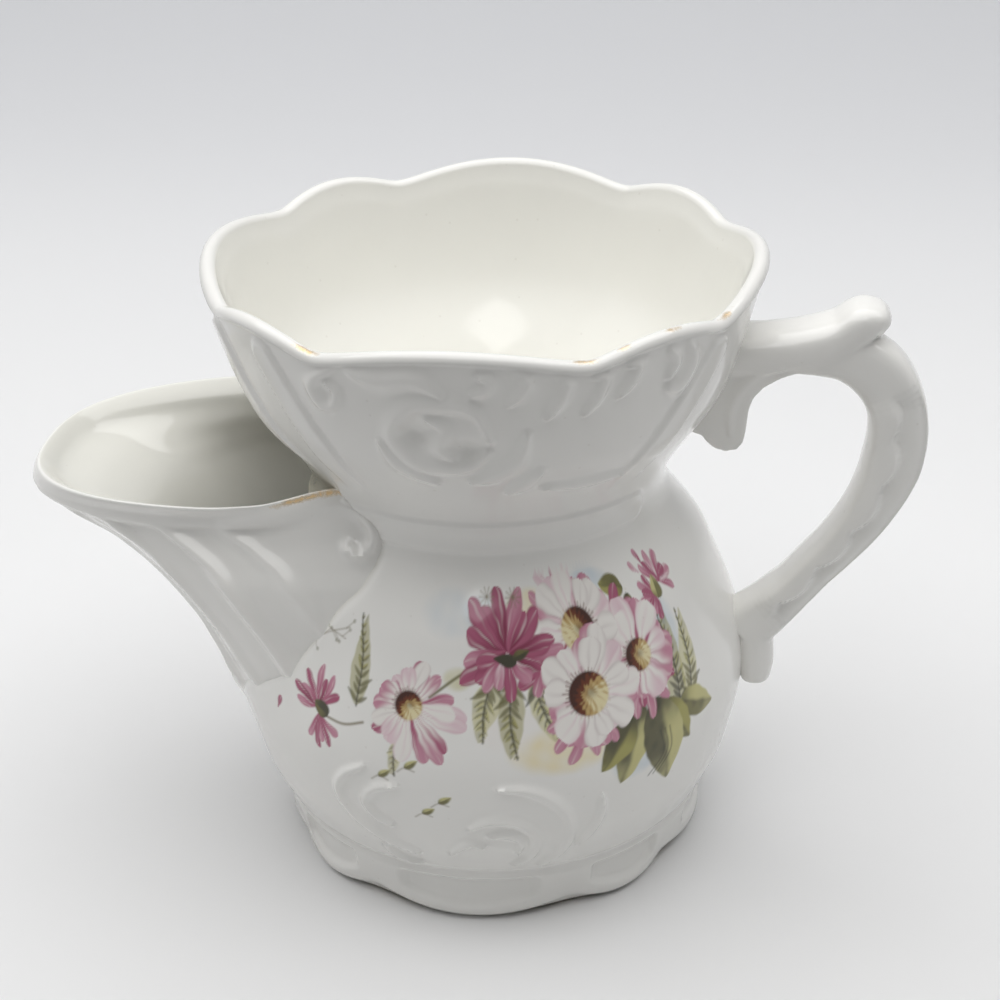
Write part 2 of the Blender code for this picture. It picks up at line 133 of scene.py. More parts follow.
def lobeAt(angle):
    # share of a full lobe and that lobe's rise, by the angle round the axis
    fold = np.degrees(np.abs(np.arctan2(np.sin(angle), np.cos(angle))))
    fold = np.where(fold > 90, 180 - fold, fold)
    side, front = body["sideLobe"], body["frontLobe"]
    small = (fold > side) & (fold < 90 - front)
    middle = (side + 90 - front) / 2
    across = np.where(fold <= side, fold / side, (90 - fold) / front)
    across = np.where(small, np.abs(fold - middle) * 2 / (90 - front - side), across)
    soft = body["notchSoft"]
    power = body["lobeRoundness"] / 2
    share = (np.cos(across * np.pi / 2) ** 2 + soft) ** power - soft**power
    share = share / ((1 + soft) ** power - soft**power)
    return share, np.where(small, body["smallLobeRise"], body["lobeRise"])


def bodyPoints(angle, radius, z):
    # a turned place (angle, radius, height) swelled into the lobes of the rim and the foot
    share, rise = lobeAt(angle)
    nearRim = ease((z - body["rim"] + body["lobeDepth"]) / body["lobeDepth"])
    nearFoot = ease(1 - z / body["footHeight"]) * ease((radius - body["ringEdge"]) / body["footRound"])
    r = radius + share * (nearRim * body["lobeSwell"] + nearFoot * body["footSwell"])
    lift = nearRim * rise * share + nearFoot * body["footLift"] * (1 - share)
    return np.stack([r * np.cos(angle), r * np.sin(angle), z + lift], -1)


def girthAt(angle, z):
    # mm along the girth from the front, to the right, mirrored on the back half
    turn = np.degrees(np.arctan2(np.sin(angle), np.cos(angle)))
    return bodyRadius(z) * np.radians(90 - np.abs(turn))


# paths and strokes of the raised ornament, in mm along the girth and up
def lengthAlong(points):
    return np.concatenate([[0], np.cumsum(np.hypot(*np.diff(points, axis=0).T))])


def curvePath(points):
    points = np.array(points, float)
    along = lengthAlong(points)
    at = np.linspace(0, along[-1], 80)
    tangent = np.gradient(points, along, axis=0)
    i = np.clip(np.searchsorted(along, at, side="right") - 1, 0, len(points) - 2)
    span = (along[i + 1] - along[i])[:, None]
    t = (at - along[i])[:, None] / span
    return hermite(t, span, points[i], points[i + 1], tangent[i], tangent[i + 1])


def onBody(path):
    # from (degrees from the front, height) to mm along the girth and up
    path = np.array(path, float)
    path[:, 0] = bodyRadius(path[:, 1]) * np.radians(path[:, 0])
    return path


def bodyPath(points):
    return onBody(curvePath(points))


def dimple(a, b, place, size):
    spot = onBody([place])[0]
    return bell(np.hypot((a - spot[0]) / size[0], (b - spot[1]) / size[1]))


def nearPath(a, b, path, margin):
    low, high = path.min(0) - margin, path.max(0) + margin
    return np.nonzero((a > low[0]) & (a < high[0]) & (b > low[1]) & (b < high[1]))[0]


def pathGap(a, b, path):
    # how far places lie from the straight steps of a path
    gap = np.full(np.shape(a), 99.0)
    for first, last in zip(path, path[1:]):
        step = last - first
        t = ((a - first[0]) * step[0] + (b - first[1]) * step[1]) / (step @ step + 1e-9)
        t = np.clip(t, 0, 1)
        gap = np.minimum(gap, np.hypot(a - first[0] - t * step[0], b - first[1] - t * step[1]))
    return gap


def stroke(a, b, path, width, taper=0.35):
    # height share of a round ridge along a path, thinner towards both ends
    height = np.zeros(len(a))
    near = nearPath(a, b, path, 1.5 * width)
    place = np.stack([a[near], b[near]], -1)
    t = np.linspace(-1, 1, len(path))
    half = width / 2 * (1 - (1 - taper) * t**2)
    fall, end = 2.2, 3.0  # how fast a ridge falls away, and where it ends, in half widths
    gap = np.full(len(near), end)
    for point, reach in zip(path, half):
        gap = np.minimum(gap, np.hypot(*(place - point).T) / reach)
    height[near] = np.exp(-fall * gap**2) - math.exp(-fall * end**2)
    return height


def strap(a, b, path, width):
    # a flat raised band along a path, with soft edges
    height = np.zeros(len(a))
    near = nearPath(a, b, path, width)
    height[near] = ease((width / 2 - pathGap(a[near], b[near], path)) / 0.9 + 0.5)
    return height


def scrollShare(girth, z, scrolls):
    # the highest of several ridges, each a path on the body and its width
    share = np.zeros(len(z))
    for path, width in scrolls:
        share = np.maximum(share, stroke(girth, z, bodyPath(path), width))
    return share


# soap bowl: relief under the rim on the front and back, flat ribs down to the waist
bowl = {
    "columns": 640,
    "outerRows": 96,
    "lipRows": 13,
    "innerRows": 22,
    "scrollHeight": 0.8,
    "combWidth": 3.0,
    "ribHeight": 0.6,
    "ribWidth": 4.6,
    "ribFade": (73.0, 81.0),  # the ribs grow out of the wall between these heights
    "collarHeight": 0.4,
    "collarWidth": 5.4,
    "hollows": [(-7.2, 88.4), (3.4, 86.1)],  # pressed into the round scroll
    "hollowSize": (2.3, 1.5),
    "hollowDeep": 0.9,
    "reliefTop": 99.0,
    "rimRound": 1.3,
    "rimTop": 100.3,
    "innerTop": 97.4,
    "seatRadius": 26.0,
    "ledgeRadius": 23.0,
    "ledgeTop": 64.8,
    "shelfTop": 68.1,
}
bowlScrolls = [
    # (degrees from the front, height) along each ridge, then its width in mm
    ([(8, 88), (5.5, 91.7), (-2, 93), (-9.5, 91.8), (-12, 88.2),
      (-9, 84.7), (-2, 83.3), (4, 84), (7.4, 86)], 4.32),
    ([(-4.5, 91.2), (-1, 89.4), (-2.5, 87), (0.5, 85)], 3.6),
    ([(15.5, 89), (14, 85), (9, 82), (4, 80.8)], 4.08),
    ([(19, 82.4), (16, 80), (12, 78.2)], 3.84),
    ([(-15, 87), (-13, 84.2), (-8.5, 82), (-4, 80.4)], 4.08),
    ([(-19, 98.4), (-13, 96.4), (-6, 96.6), (-1, 94.4)], 5.04),
    ([(-22, 98.6), (-26.5, 97), (-28.5, 94.6), (-27, 92.2),
      (-23.6, 92.6), (-22.6, 94.8), (-24.4, 96)], 3.6),
    ([(49, 98.2), (51.5, 94.8), (49, 91.4), (45.5, 91.6)], 4.08),
    ([(44, 97.6), (46.4, 95.4), (45, 93.4)], 3.12),
    ([(20, 78.6), (30, 78.0), (41, 78.2)], 3.12),
]
bowlComb = [(8, 96.6, 2.0), (15, 97.6, 4.2), (22.5, 97.6, 6.0), (30, 97.4, 5.4), (37, 97.0, 3.8)]
bowlRibs = [
    [(-41, 95.5), (-35.5, 88), (-31.5, 82), (-29.5, 76), (-29, 71)],
    [(60, 95.5), (54, 88), (49, 82), (46, 76.5), (45, 71)],
    [(-62, 95.5), (-57, 88), (-52, 82), (-49, 76), (-48, 71)],
]
bowlCollar = [(-62, 66.6), (-30, 67.2), (0, 67.2), (30, 67.2), (57, 66.8)]


def combTooth(foot, top, length):
    lean = [(foot - 3.4, top - length), (foot - 0.6, top - 0.4 * length)]
    return lean + [(foot, top), (foot - 2.2, top + 0.7)]


def bowlRelief(angle, z):
    girth = girthAt(angle, z)
    teeth = [(combTooth(*tooth), bowl["combWidth"]) for tooth in bowlComb]
    height = bowl["scrollHeight"] * scrollShare(girth, z, bowlScrolls + teeth)
    low, high = bowl["ribFade"]
    fade = ease((z - low) / (high - low))
    for path in bowlRibs:
        rib = fade * strap(girth, z, bodyPath(path), bowl["ribWidth"])
        height = np.maximum(height, bowl["ribHeight"] * rib)
    collar = strap(girth, z, bodyPath(bowlCollar), bowl["collarWidth"])
    height = np.maximum(height, bowl["collarHeight"] * collar)
    for place in bowl["hollows"]:
        height = height - bowl["hollowDeep"] * dimple(girth, z, place, bowl["hollowSize"])
    return height * ease((bowl["reliefTop"] - z) / 2.0)


def besideSpout(places):
    # the slip smoothed into the corner at the spout's wall, and how far a place lies in its mouth, where the
    # glaze gets painted shade
    sheet = spoutSheet(spoutShares())
    normal = gridNormals(sheet).reshape(-1, 3)
    sheet = sheet.reshape(-1, 3)
    tree = kdtree.KDTree(len(sheet))
    for k, point in enumerate(sheet):
        tree.insert(point, k)
    tree.balance()
    slip, mouth = np.zeros(len(places)), np.zeros(len(places))
    for k in np.nonzero((places[:, 0] < -4) & (places[:, 2] > 10))[0]:
        _, nearest, gap = tree.find(places[k])
        side = (places[k] - sheet[nearest]) @ normal[nearest]
        slip[k] = ease(side / 0.8 + 1) * max(0.0, 1 - gap / spout["filletReach"]) ** 2
        mouth[k] = ease(-side / 2)
    low, high = spout["mouth"]
    mouth = mouth * ease((places[:, 2] - low) / 8) * ease((high - places[:, 2]) / 9)
    return spout["filletHeight"] * slip, mouth


def turnedGrid(angles, radius, z):
    # every profile place at every angle: rows follow the profile, columns go round
    a = np.broadcast_to(angles, (len(z), len(angles))).ravel()
    r = np.repeat(radius, len(angles))
    h = np.repeat(z, len(angles))
    return a, r, h


def gridFaces(rows, columns, closed=False):
    # quads between rows that go round, the last row joined to the first where closed
    row = np.arange(rows if closed else rows - 1)[:, None]
    low, high = row * columns, (row + 1) % rows * columns
    column = np.arange(columns)[None]
    beside = (column + 1) % columns
    return np.stack([low + column, low + beside, high + beside, high + column], -1).reshape(-1, 4)


def tubeFaces(rows, columns):
    # round a tube, and its two end caps
    last = (rows - 1) * columns
    caps = [list(range(columns))[::-1], list(range(last, last + columns))]
    return gridFaces(rows, columns).tolist() + caps


def pushOut(radius, z, height):
    # moves outer places along the wall's own normal
    step = 0.05
    slope = (bodyRadius(z + step) - bodyRadius(z - step)) / (2 * step)
    length = np.sqrt(1 + slope**2)
    return radius + height / length, z - height * slope / length


def addObject(name, data):
    obj = bpy.data.objects.new(name, data)
    bpy.context.scene.collection.objects.link(obj)
    return obj


def solidObject(name, points, faces):
    mesh = bpy.data.meshes.new(name)
    mesh.from_pydata((np.asarray(points) * mm + axis).tolist(), [], faces)
    work = bmesh.new()
    work.from_mesh(mesh)
    bmesh.ops.recalc_face_normals(work, faces=work.faces)
    work.to_mesh(mesh)
    work.free()
    return addObject(name, mesh)


def dressPiece(piece, node, material):
    piece.data.materials.clear()
    piece.data.materials.append(material)
    piece.data.shade_smooth()
    piece.data.set_sharp_from_angle(angle=math.radians(60))
    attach(piece, "root")
    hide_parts(node)


def paintGlaze(mesh, tint, gilt=0.0):
    # colour and gold of every point, or one for all of them
    count = len(mesh.vertices)
    full = np.ones((count, 4), np.float32)
    full[:, :3] = tint
    mesh.attributes.new("tint", "FLOAT_COLOR", "POINT").data.foreach_set("color", full.ravel())
    gold = np.broadcast_to(gilt, count).astype(np.float32)
    mesh.attributes.new("gilt", "FLOAT", "POINT").data.foreach_set("value", gold)


def paintCuts(mesh):
    # points that a cut has made have no colour yet: they get the painted shade of the spout's mouth
    layer = mesh.attributes["tint"]
    found = np.zeros(len(mesh.vertices) * 4, np.float32)
    layer.data.foreach_get("color", found)
    found = found.reshape(-1, 4)
    found[found[:, :3].sum(1) < 0.03] = (*glaze["paintedMouthShade"], 1)
    layer.data.foreach_set("color", found.ravel())


def colour(code):
    # a colour written as seen on screen, as linear light
    part = np.array([int(code[i : i + 2], 16) / 255 for i in (0, 2, 4)])
    return np.where(part <= 0.04045, part / 12.92, ((part + 0.055) / 1.055) ** 2.4)


glaze = {
    "white": colour("f4f3ef"),
    "cream": colour("f6f5ef"),
    # painted shade for the spout's inner wall and the shelf, darker than the glaze
    "paintedInsideShade": colour("e6e5dd"),
    # painted shade for the way into the spout, darker than the glaze
    "paintedMouthShade": colour("bdb8a6"),
    "bare": colour("d9cfbf"),
    "gold": colour("d6b98c"),
    "goldShine": 0.5,
    "goldDull": 0.22,
    "speck": (0.30, 0.24, 0.17, 1),
    "speckShare": 0.10,
    "roughness": 0.09,
    "patchTint": 0.05,
    "rippleHeight": 0.00004,
}


def newMaterial(name):
    material = bpy.data.materials.new(name)
    material.use_nodes = True
    return material, material.node_tree, material.node_tree.nodes["Principled BSDF"]


def addNode(tree, kind, inputs, **settings):
    # a new shader node's outputs; each input is a plain value or another node's output
    made = tree.nodes.new("ShaderNode" + kind)
    for key, value in settings.items():
        setattr(made, key, value)
    for key, value in inputs.items():
        if isinstance(value, bpy.types.NodeSocket):
            tree.links.new(value, made.inputs[key])
        else:
            made.inputs[key].default_value = value
    return made.outputs


def mathNode(tree, operation, *inputs, **settings):
    return addNode(tree, "Math", dict(enumerate(inputs)), operation=operation, **settings)["Value"]


def rangeNode(tree, value, source=(0.0, 1.0), target=(0.0, 1.0), **settings):
    ends = dict(zip(("From Min", "From Max", "To Min", "To Max"), (*source, *target)))
    return addNode(tree, "MapRange", {"Value": value, **ends}, **settings)["Result"]


def mixNode(tree, share, first, second, **settings):
    inputs = {"Factor": share, "A": first, "B": second}
    return addNode(tree, "Mix", inputs, data_type="RGBA", **settings)["Result"]


def glazeMaterial(name):
    material, tree, shader = newMaterial(name)
    tint = addNode(tree, "Attribute", {}, attribute_name="tint")["Color"]
    gilt = addNode(tree, "Attribute", {}, attribute_name="gilt")["Fac"]
    place = addNode(tree, "TexCoord", {})["Object"]

    def noise(scale, detail, roughness):
        inputs = {"Vector": place, "Scale": scale, "Detail": detail, "Roughness": roughness}
        return addNode(tree, "TexNoise", inputs)["Fac"]

    # faint clouds in the glaze, a shade darker where it pooled
    cloud = noise(55.0, 3.0, 0.5)
    clouded = rangeNode(tree, cloud, target=(1.0 - glaze["patchTint"], 1.0))
    pool = mixNode(tree, 1.0, tint, clouded, blend_type="MULTIPLY")
    # kiln specks
    speck = addNode(tree, "TexVoronoi", {"Vector": place, "Scale": 260.0, "Randomness": 1.0})["Distance"]
    speck = rangeNode(tree, speck, (0.03, 0.075), (glaze["speckShare"], 0.0))
    specked = mixNode(tree, speck, pool, glaze["speck"])
    # worn gilding breaks up into flecks
    worn = mathNode(tree, "MULTIPLY_ADD", noise(900.0, 4.0, 0.65), 2.4, -2.2)
    left = mathNode(tree, "MULTIPLY_ADD", gilt, 1.6, worn)
    kept = mathNode(tree, "MULTIPLY", left, gilt, use_clamp=True)
    gilded = mixNode(tree, kept, specked, (*glaze["gold"], 1))
    shine = mathNode(tree, "MULTIPLY", kept, glaze["goldShine"])
    # gloss, a touch duller in the clouds and on the gold
    gloss = glaze["roughness"]
    dull = rangeNode(tree, cloud, target=(gloss - 0.03, gloss + 0.04))
    dull = mathNode(tree, "MULTIPLY_ADD", kept, glaze["goldDull"], dull)
    # the slow ripple of a fired glaze
    inputs = {"Height": noise(170.0, 2.0, 0.45), "Strength": 1.0, "Distance": glaze["rippleHeight"]}
    ripple = addNode(tree, "Bump", inputs)["Normal"]
    ends = {"Base Color": gilded, "Metallic": shine, "Roughness": dull, "Normal": ripple}
    for key, output in ends.items():
        tree.links.new(output, shader.inputs[key])
    return material


whiteGlaze = glazeMaterial("whiteGlaze")
creamGlaze = glazeMaterial("creamGlaze")


rimGold = [
    # worn stretches of gold: angle from the front, spread in degrees, strength
    (-29, 5, 1.18), (26, 4, 1.18), (34, 3, 1.0), (45, 4, 1.0),
    (62, 4, 1.1), (95, 12, 0.6), (-120, 14, 0.6), (170, 9, 0.6),
]


def rimGilding(angle):
    front = np.degrees(np.arctan2(np.cos(angle), -np.sin(angle)))
    left = np.zeros(len(angle))
    for centre, spread, strength in rimGold:
        gap = (front - centre + 180) % 360 - 180
        left = np.maximum(left, strength * bell(gap / spread))
    return left


def buildBowl():
    angles = fullTurn(bowl["columns"])
    seam, curl = body["seam"], bowl["rimRound"]
    under = bowl["rimTop"] - curl
    outerZ = np.linspace(seam + 0.45, under - 0.3, bowl["outerRows"])
    outerZ = np.concatenate([[seam, seam + 0.05], outerZ])
    turn = np.radians(np.linspace(0, 180, bowl["lipRows"]))
    lipR = bodyRadius(body["rim"]) - curl + curl * np.cos(turn)
    lipZ = under + curl * np.sin(turn)
    seat, ledge = bowl["seatRadius"], bowl["ledgeRadius"]
    innerZ = np.linspace(bowl["innerTop"], bowl["shelfTop"] + 2.5, bowl["innerRows"])
    innerR = np.maximum(bodyRadius(innerZ) - body["bowlWall"], seat)
    seatZ = [bowl["shelfTop"], bowl["ledgeTop"], bowl["ledgeTop"], seam]
    radius = np.concatenate([bodyRadius(outerZ), lipR, innerR, [seat, seat, ledge, ledge]])
    z = np.concatenate([outerZ, lipZ, innerZ, seatZ])
    a, r, h = turnedGrid(angles, radius, z)
    outer = slice(0, len(outerZ) * len(angles))
    slip, mouth = besideSpout(bodyPoints(a[outer], r[outer], h[outer]))
    relief = bowlRelief(a[outer], h[outer]) * (1 - mouth) + slip
    r[outer], h[outer] = pushOut(r[outer], h[outer], relief)
    points = bodyPoints(a, r, h)
    piece = solidObject("glazed_bowl", points, gridFaces(len(z), len(angles), True).tolist())
    lipRow = np.repeat(np.arange(len(z)), len(angles)) - len(outerZ)
    tint = mix(glaze["white"], glaze["cream"], ease((lipRow - 6) / 8))
    # inside the spout's mouth the bowl is painted darker, as painted shade
    tint[outer] = mix(tint[outer], glaze["paintedMouthShade"], mouth)
    paintGlaze(piece.data, tint, bell((lipRow - 5) / 2.6) * rimGilding(a))
    dressPiece(piece, "soap_bowl", whiteGlaze)
    print("soap bowl:", len(points), "points")


# water pot: the belly with the flower spray, scrolls low on the front, panelled foot
pot = {
    "columns": 336,
    "rowStep": 0.8,
    "finest": 4,
    "scrollHeight": 0.8,
    "panelDeep": 0.8,
    "creaseDeep": 0.45,
    "creaseHeight": 10.4,
    "lowest": 1.6,
}
potScrolls = [
    ([(-21, 32.4), (-26, 29.6), (-28.5, 26), (-27, 22.4), (-21, 18.6), (-11, 15.6)], 2.9),
    ([(-13.5, 30.2), (-19, 28.4), (-21.5, 25.2), (-19.5, 22.4), (-15.6, 21.4)], 2.6),
    ([(-16, 17.4), (-19, 15.6), (-17, 13.4), (-11, 12.6)], 2.2),
    ([(8, 31), (13, 30.6), (18.5, 28.4), (22.5, 24.4), (24, 19.5), (22, 15.4), (18, 12.8)], 3.0),
    ([(1.5, 22.6), (5, 24.2), (9.5, 24.4), (14, 22.6), (16.4, 19.4), (15.4, 15.8), (11.5, 13.6)], 2.8),
    ([(6, 20.9), (9.6, 21.2), (13, 19.4), (12.4, 16.8)], 2.3),
    ([(30.5, 27), (31, 23.5), (29.4, 20), (26, 17)], 2.4),
    ([(-3, 16.4), (1, 19), (5, 18.6)], 2.0),
]


def potRelief(angle, z):
    height = pot["scrollHeight"] * scrollShare(girthAt(angle, z), z, potScrolls)
    share, _ = lobeAt(angle)
    crease = bell(z - pot["creaseHeight"])
    low = 2.6 + 2.2 * (1 - share)
    band = ease((z - low) / 1.3) * ease((pot["creaseHeight"] - 1.2 - z) / 1.3)
    panel = band * ease((share - 0.34) / 0.22)
    return height - pot["creaseDeep"] * crease - pot["panelDeep"] * panel


def potLevels(edges, canvas, window):
    # how finely each cell is cut: most where it carries paint, half as fine where it carries relief
    columns, fine = pot["columns"], pot["finest"]
    rows = len(edges) - 1
    level = np.ones((rows, columns), int)
    painted = canvas["cover"] > 0.02
    for i in range(window["rows"]):
        for j in range(window["columns"]):
            if painted[i * fine : i * fine + fine + 1, j * fine : j * fine + fine + 1].any():
                level[window["row"] + i, (window["column"] + j) % columns] = fine
    middle = (edges[:-1] + edges[1:]) / 2
    cellAngle, cellZ = np.meshgrid((np.arange(columns) + 0.5) * 2 * np.pi / columns, middle)
    carved = np.abs(potRelief(cellAngle.ravel(), cellZ.ravel())).reshape(rows, columns) > 0.04
    level = np.where(carved & (level == 1), 2, level)
    level[0] = 1
    level[-2:] = 1
    return level


def potCells(level):
    # the belly's points, as places on the finest grid, and its faces
    columns, fine = pot["columns"], pot["finest"]
    rows = len(level)
    keys, faces = {}, []

    def corner(i, j):
        return keys.setdefault((i, j % (columns * fine)), len(keys))

    # the lowest and the highest row come first, for the rest of the wall to join
    for i in (0, rows * fine):
        for j in range(columns):
            corner(i, j * fine)
    for i in range(rows):
        for j in range(columns):
            own = level[i, j]
            right = max(own, level[i, (j + 1) % columns])
            left = max(own, level[i, j - 1])
            above = max(own, level[min(i + 1, rows - 1), j])
            below = max(own, level[max(i - 1, 0), j])
            top, side = i * fine, j * fine
            if left == right == above == below == own:
                step = fine // own
                for u in range(top, top + fine, step):
                    for v in range(side, side + fine, step):
                        around = ((u, v), (u, v + step), (u + step, v + step), (u + step, v))
                        faces.append([corner(*spot) for spot in around])
                continue
            loop = [(top, side + fine * k // below) for k in range(below)]
            loop += [(top + fine * k // right, side + fine) for k in range(right)]
            loop += [(top + fine, side + fine - fine * k // above) for k in range(above)]
            loop += [(top + fine - fine * k // left, side) for k in range(left)]
            hub = corner(top + fine // 2, side + fine // 2)
            ring = [corner(*spot) for spot in loop]
            faces += [[hub, ring[k - 1], ring[k]] for k in range(len(ring))]
    return np.array(list(keys)).T, faces


def closeWall(points, faces, before, profile):
    # rows of points from an open edge along a profile, with a fan to the axis at its end
    columns = len(before)
    angles = np.arange(columns) * 2 * np.pi / columns
    count = sum(len(part) for part in points)
    for radius, height in profile:
        now = np.arange(count, count + columns)
        points.append(bodyPoints(angles, np.full(columns, radius), np.full(columns, float(height))))
        faces.extend(np.stack([before, np.roll(before, -1), np.roll(now, -1), now], -1).tolist())
        before, count = now, count + columns
    points.append([[0, 0, profile[-1][1]]])
    faces.extend(np.stack([before, np.roll(before, -1), np.full(columns, count)], -1).tolist())


def buildPot():
    columns, fine = pot["columns"], pot["finest"]
    seam, ring = body["seam"], body["ringEdge"]
    rows = round((seam - pot["lowest"]) / pot["rowStep"])
    edges = np.linspace(pot["lowest"], seam, rows + 1)
    edges[-2] = seam - 0.05
    canvas, window = paintSpray(edges, columns, fine)
    (u, v), faces = potCells(potLevels(edges, canvas, window))
    z = np.interp(u / fine, np.arange(rows + 1), edges)
    a = v * 2 * np.pi / (columns * fine)
    # carry the spray's colours over from the canvas
    tint = np.tile(glaze["white"], (len(z), 1))
    x = (v - window["column"] * fine) % (columns * fine)
    y = u - window["row"] * fine
    inWindow = (x <= window["columns"] * fine) & (y >= 0) & (y <= window["rows"] * fine)
    spot = (y[inWindow], x[inWindow])
    tint[inWindow] = mix(glaze["white"], canvas["rgb"][spot], canvas["cover"][spot])
    slip, mouth = besideSpout(bodyPoints(a, bodyRadius(z), z))
    # inside the spout's mouth the pot is painted darker, as painted shade
    tint = mix(tint, glaze["paintedMouthShade"], mouth)
    r, h = pushOut(bodyRadius(z), z, potRelief(a, z) + slip)
    points = [bodyPoints(a, r, h)]
    # the rest of the closed wall: under the foot with its standing ring, and inside
    under = [(34.4, 0.8), (33.7, 0.4), (ring, 0.0), (ring - 0.5, 0.0), (ring - 3.2, 0.0), (ring - 3.5, 0.1)]
    under += [(ring - 5.0, 1.7), (ring - 5.4, 1.8), (ring - 6.2, 1.8), (8.0, 1.8)]
    inside = [(bodyRadius(q) - body["potWall"], q) for q in np.linspace(seam, 10.6, 18)]
    inside += [(31.4, 7.0), (26.2, 5.3), (8.0, 5.3)]
    closeWall(points, faces, np.arange(columns), under)
    closeWall(points, faces, np.arange(columns, 2 * columns), inside)
    points = np.concatenate(points)
    piece = solidObject("glazed_pot", points, faces)
    full = np.tile(glaze["white"], (len(points), 1))
    full[: len(tint)] = tint
    footing = bell(points[:, 2] / 0.25) * (np.hypot(points[:, 0], points[:, 1]) < ring + 0.5)
    paintGlaze(piece.data, mix(full, glaze["bare"], footing))
    cut(piece, channelSolid())
    paintCuts(piece.data)
    dressPiece(piece, "lower_pot", whiteGlaze)
    print("water pot:", len(piece.data.vertices), "points")


# the flower spray: a loose bunch of daisies, fern and leaf, printed on the belly
spray = {
    "from": (-42.0, 14.0),  # mm to the right of the front, and height
    "to": (50.0, 60.6),
    "soft": 0.44,
    "white": colour("f4f0eb"),
    "mist": colour("c9bdbb"),
    "blush": colour("e8d0d6"),
    "pink": colour("cb8fa3"),
    "rose": colour("ad5a78"),
    "wine": colour("862f4e"),
    "straw": colour("eadfb4"),
    "ochre": colour("b8934f"),
    "brown": colour("6b3216"),
    "dark": colour("3a1a10"),
    "leaf": colour("a8a35e"),
    "lime": colour("cbc68a"),
    "moss": colour("6c683c"),
    "shade": colour("403e2c"),
    "twig": colour("877c64"),
    "sky": colour("ccd9e2"),
    "butter": colour("efe2b6"),
}


def ragged(a, b, seed):
    # slow uneven shifts in mm, so that no edge looks ruled
    return 0.1 * np.sin(a * 1.1 + b * 0.6 + seed) + 0.06 * np.sin(b * 2.3 - a * 1.4 + 2.1 * seed)


def softEdge(inside, middle=0.5):
    # cover by how many mm a place lies inside an edge
    return ease(inside / spray["soft"] + middle)


def facing(a, b, base, heading):
    # mm along and across a heading
    c, s = aim(heading)
    x, y = a - base[0], b - base[1]
    return x * c + y * s, y * c - x * s


def brush(canvas, low, high, paint):
    rows = slice(*np.searchsorted(canvas["b"], (low[1], high[1])))
    columns = slice(*np.searchsorted(canvas["a"], (low[0], high[0])))
    a, b = np.meshgrid(canvas["a"][columns], canvas["b"][rows])
    if a.size == 0:
        return
    cover, rgb = paint(a, b)
    total = cover + canvas["cover"][rows, columns] * (1 - cover)
    share = cover / np.maximum(total, 1e-6)
    canvas["rgb"][rows, columns] = mix(canvas["rgb"][rows, columns], rgb, share)
    canvas["cover"][rows, columns] = total


def brushRound(canvas, centre, reach, paint):
    brush(canvas, np.subtract(centre, reach), np.add(centre, reach), paint)


def wash(canvas, centre, size, ink, strength):
    def paint(a, b):
        gap = ((a - centre[0]) / size[0]) ** 2 + ((b - centre[1]) / size[1]) ** 2
        cloud = 0.8 + 0.2 * np.sin(a * 1.3 + b * 0.7) * np.sin(b * 1.1 - a * 0.5)
        return strength * cloud * ease(1.25 - gap), spray[ink]

    brushRound(canvas, centre, np.multiply(size, 1.2), paint)


def petal(canvas, base, heading, length, width, dress, bend=0.0):
    root, tip, vein, streaks = dress

    def paint(a, b):
        along, across = facing(a, b, base, heading)
        t = along / length
        w = (across - bend * length * t**2 + ragged(a, b, heading)) / (width / 2)
        t = t + ragged(b, a, heading) / length
        blunt = np.sqrt(np.clip(1 - ((np.maximum(t, 0.76) - 0.76) / 0.24) ** 2, 0, 1))
        shape = (0.3 + 0.7 * ease(t / 0.66)) * blunt
        cover = softEdge((shape - np.abs(w)) * width / 2) * (t > 0) * (t < 1)
        q = w / np.maximum(shape, 0.05)
        rgb = mix(spray[root], spray[tip], ease((t - 0.15 + 0.12 * np.cos(q * 5)) / 0.75))
        lines = np.clip(np.cos((q * 1.9 + 0.3 * np.sin(heading)) * np.pi), 0, 1) ** 2
        lines = lines * np.clip(1.15 - t, 0, 1)
        rim = ease((np.abs(q) - 0.55) / 0.45)
        rgb = mix(rgb, spray[vein], np.clip(streaks * (0.8 * lines + 0.7 * rim), 0, 1))
        gleam = np.clip(np.sin(q * 4.6 + 1.4 * t + heading), 0, 1) ** 3 * ease((t - 0.1) / 0.4)
        gleam = gleam * (0.6 + 0.4 * np.sin(t * 7 + heading))
        return cover, mix(rgb, spray["white"], 0.45 * gleam)

    brushRound(canvas, base, length + width, paint)


def pen(canvas, points, width, ink, strength=1.0):
    path = curvePath(points) if len(points) > 2 else np.array(points, float)

    def paint(a, b):
        return strength * softEdge(width / 2 - pathGap(a, b, path), 0.6), spray[ink]

    brush(canvas, path.min(0) - width * 2, path.max(0) + width * 2, paint)


def heart(canvas, centre, size, tilt):
    # a daisy's eye: dark on one side, straw on the other, with a short fringe
    for k in range(40):
        turn = 9 * k
        dark = max(0.0, math.cos(math.radians(turn - tilt)))
        reach = 1.06 + 0.09 * math.sin(k * 2.4) + 0.14 * dark
        hair = [away(centre, turn, np.multiply(size, share)) for share in (0.85, reach)]
        pen(canvas, hair, 0.1, "brown" if dark else "ochre", 0.35 + 0.4 * dark)
    leanX, leanY = aim(tilt)

    def paint(a, b):
        x, y = (a - centre[0]) / size[0], (b - centre[1]) / size[1]
        gap = np.hypot(x, y)
        florets = np.sin(17 * np.arctan2(y, x) + 5 * gap) * gap + 0.6 * np.sin(a * 4.3 + b * 3.1)
        tone = 0.8 * (x * leanX + y * leanY) + 0.7 * (gap - 0.35) + 0.14 * florets
        rgb = mix(spray["straw"], spray["ochre"], 0.8 * ease((tone + 0.3) / 0.3))
        rgb = mix(rgb, spray["brown"], ease((tone - 0.05) / 0.3))
        rgb = mix(rgb, spray["dark"], 0.85 * ease((tone - 0.4) / 0.4))
        pit = bell(np.hypot((x - 0.1) / 0.3, (y - 0.05) / 0.24))
        return softEdge((1 - gap) * size[0]), mix(rgb, spray["dark"], 0.5 * pit)

    brushRound(canvas, centre, max(size) * 1.1, paint)


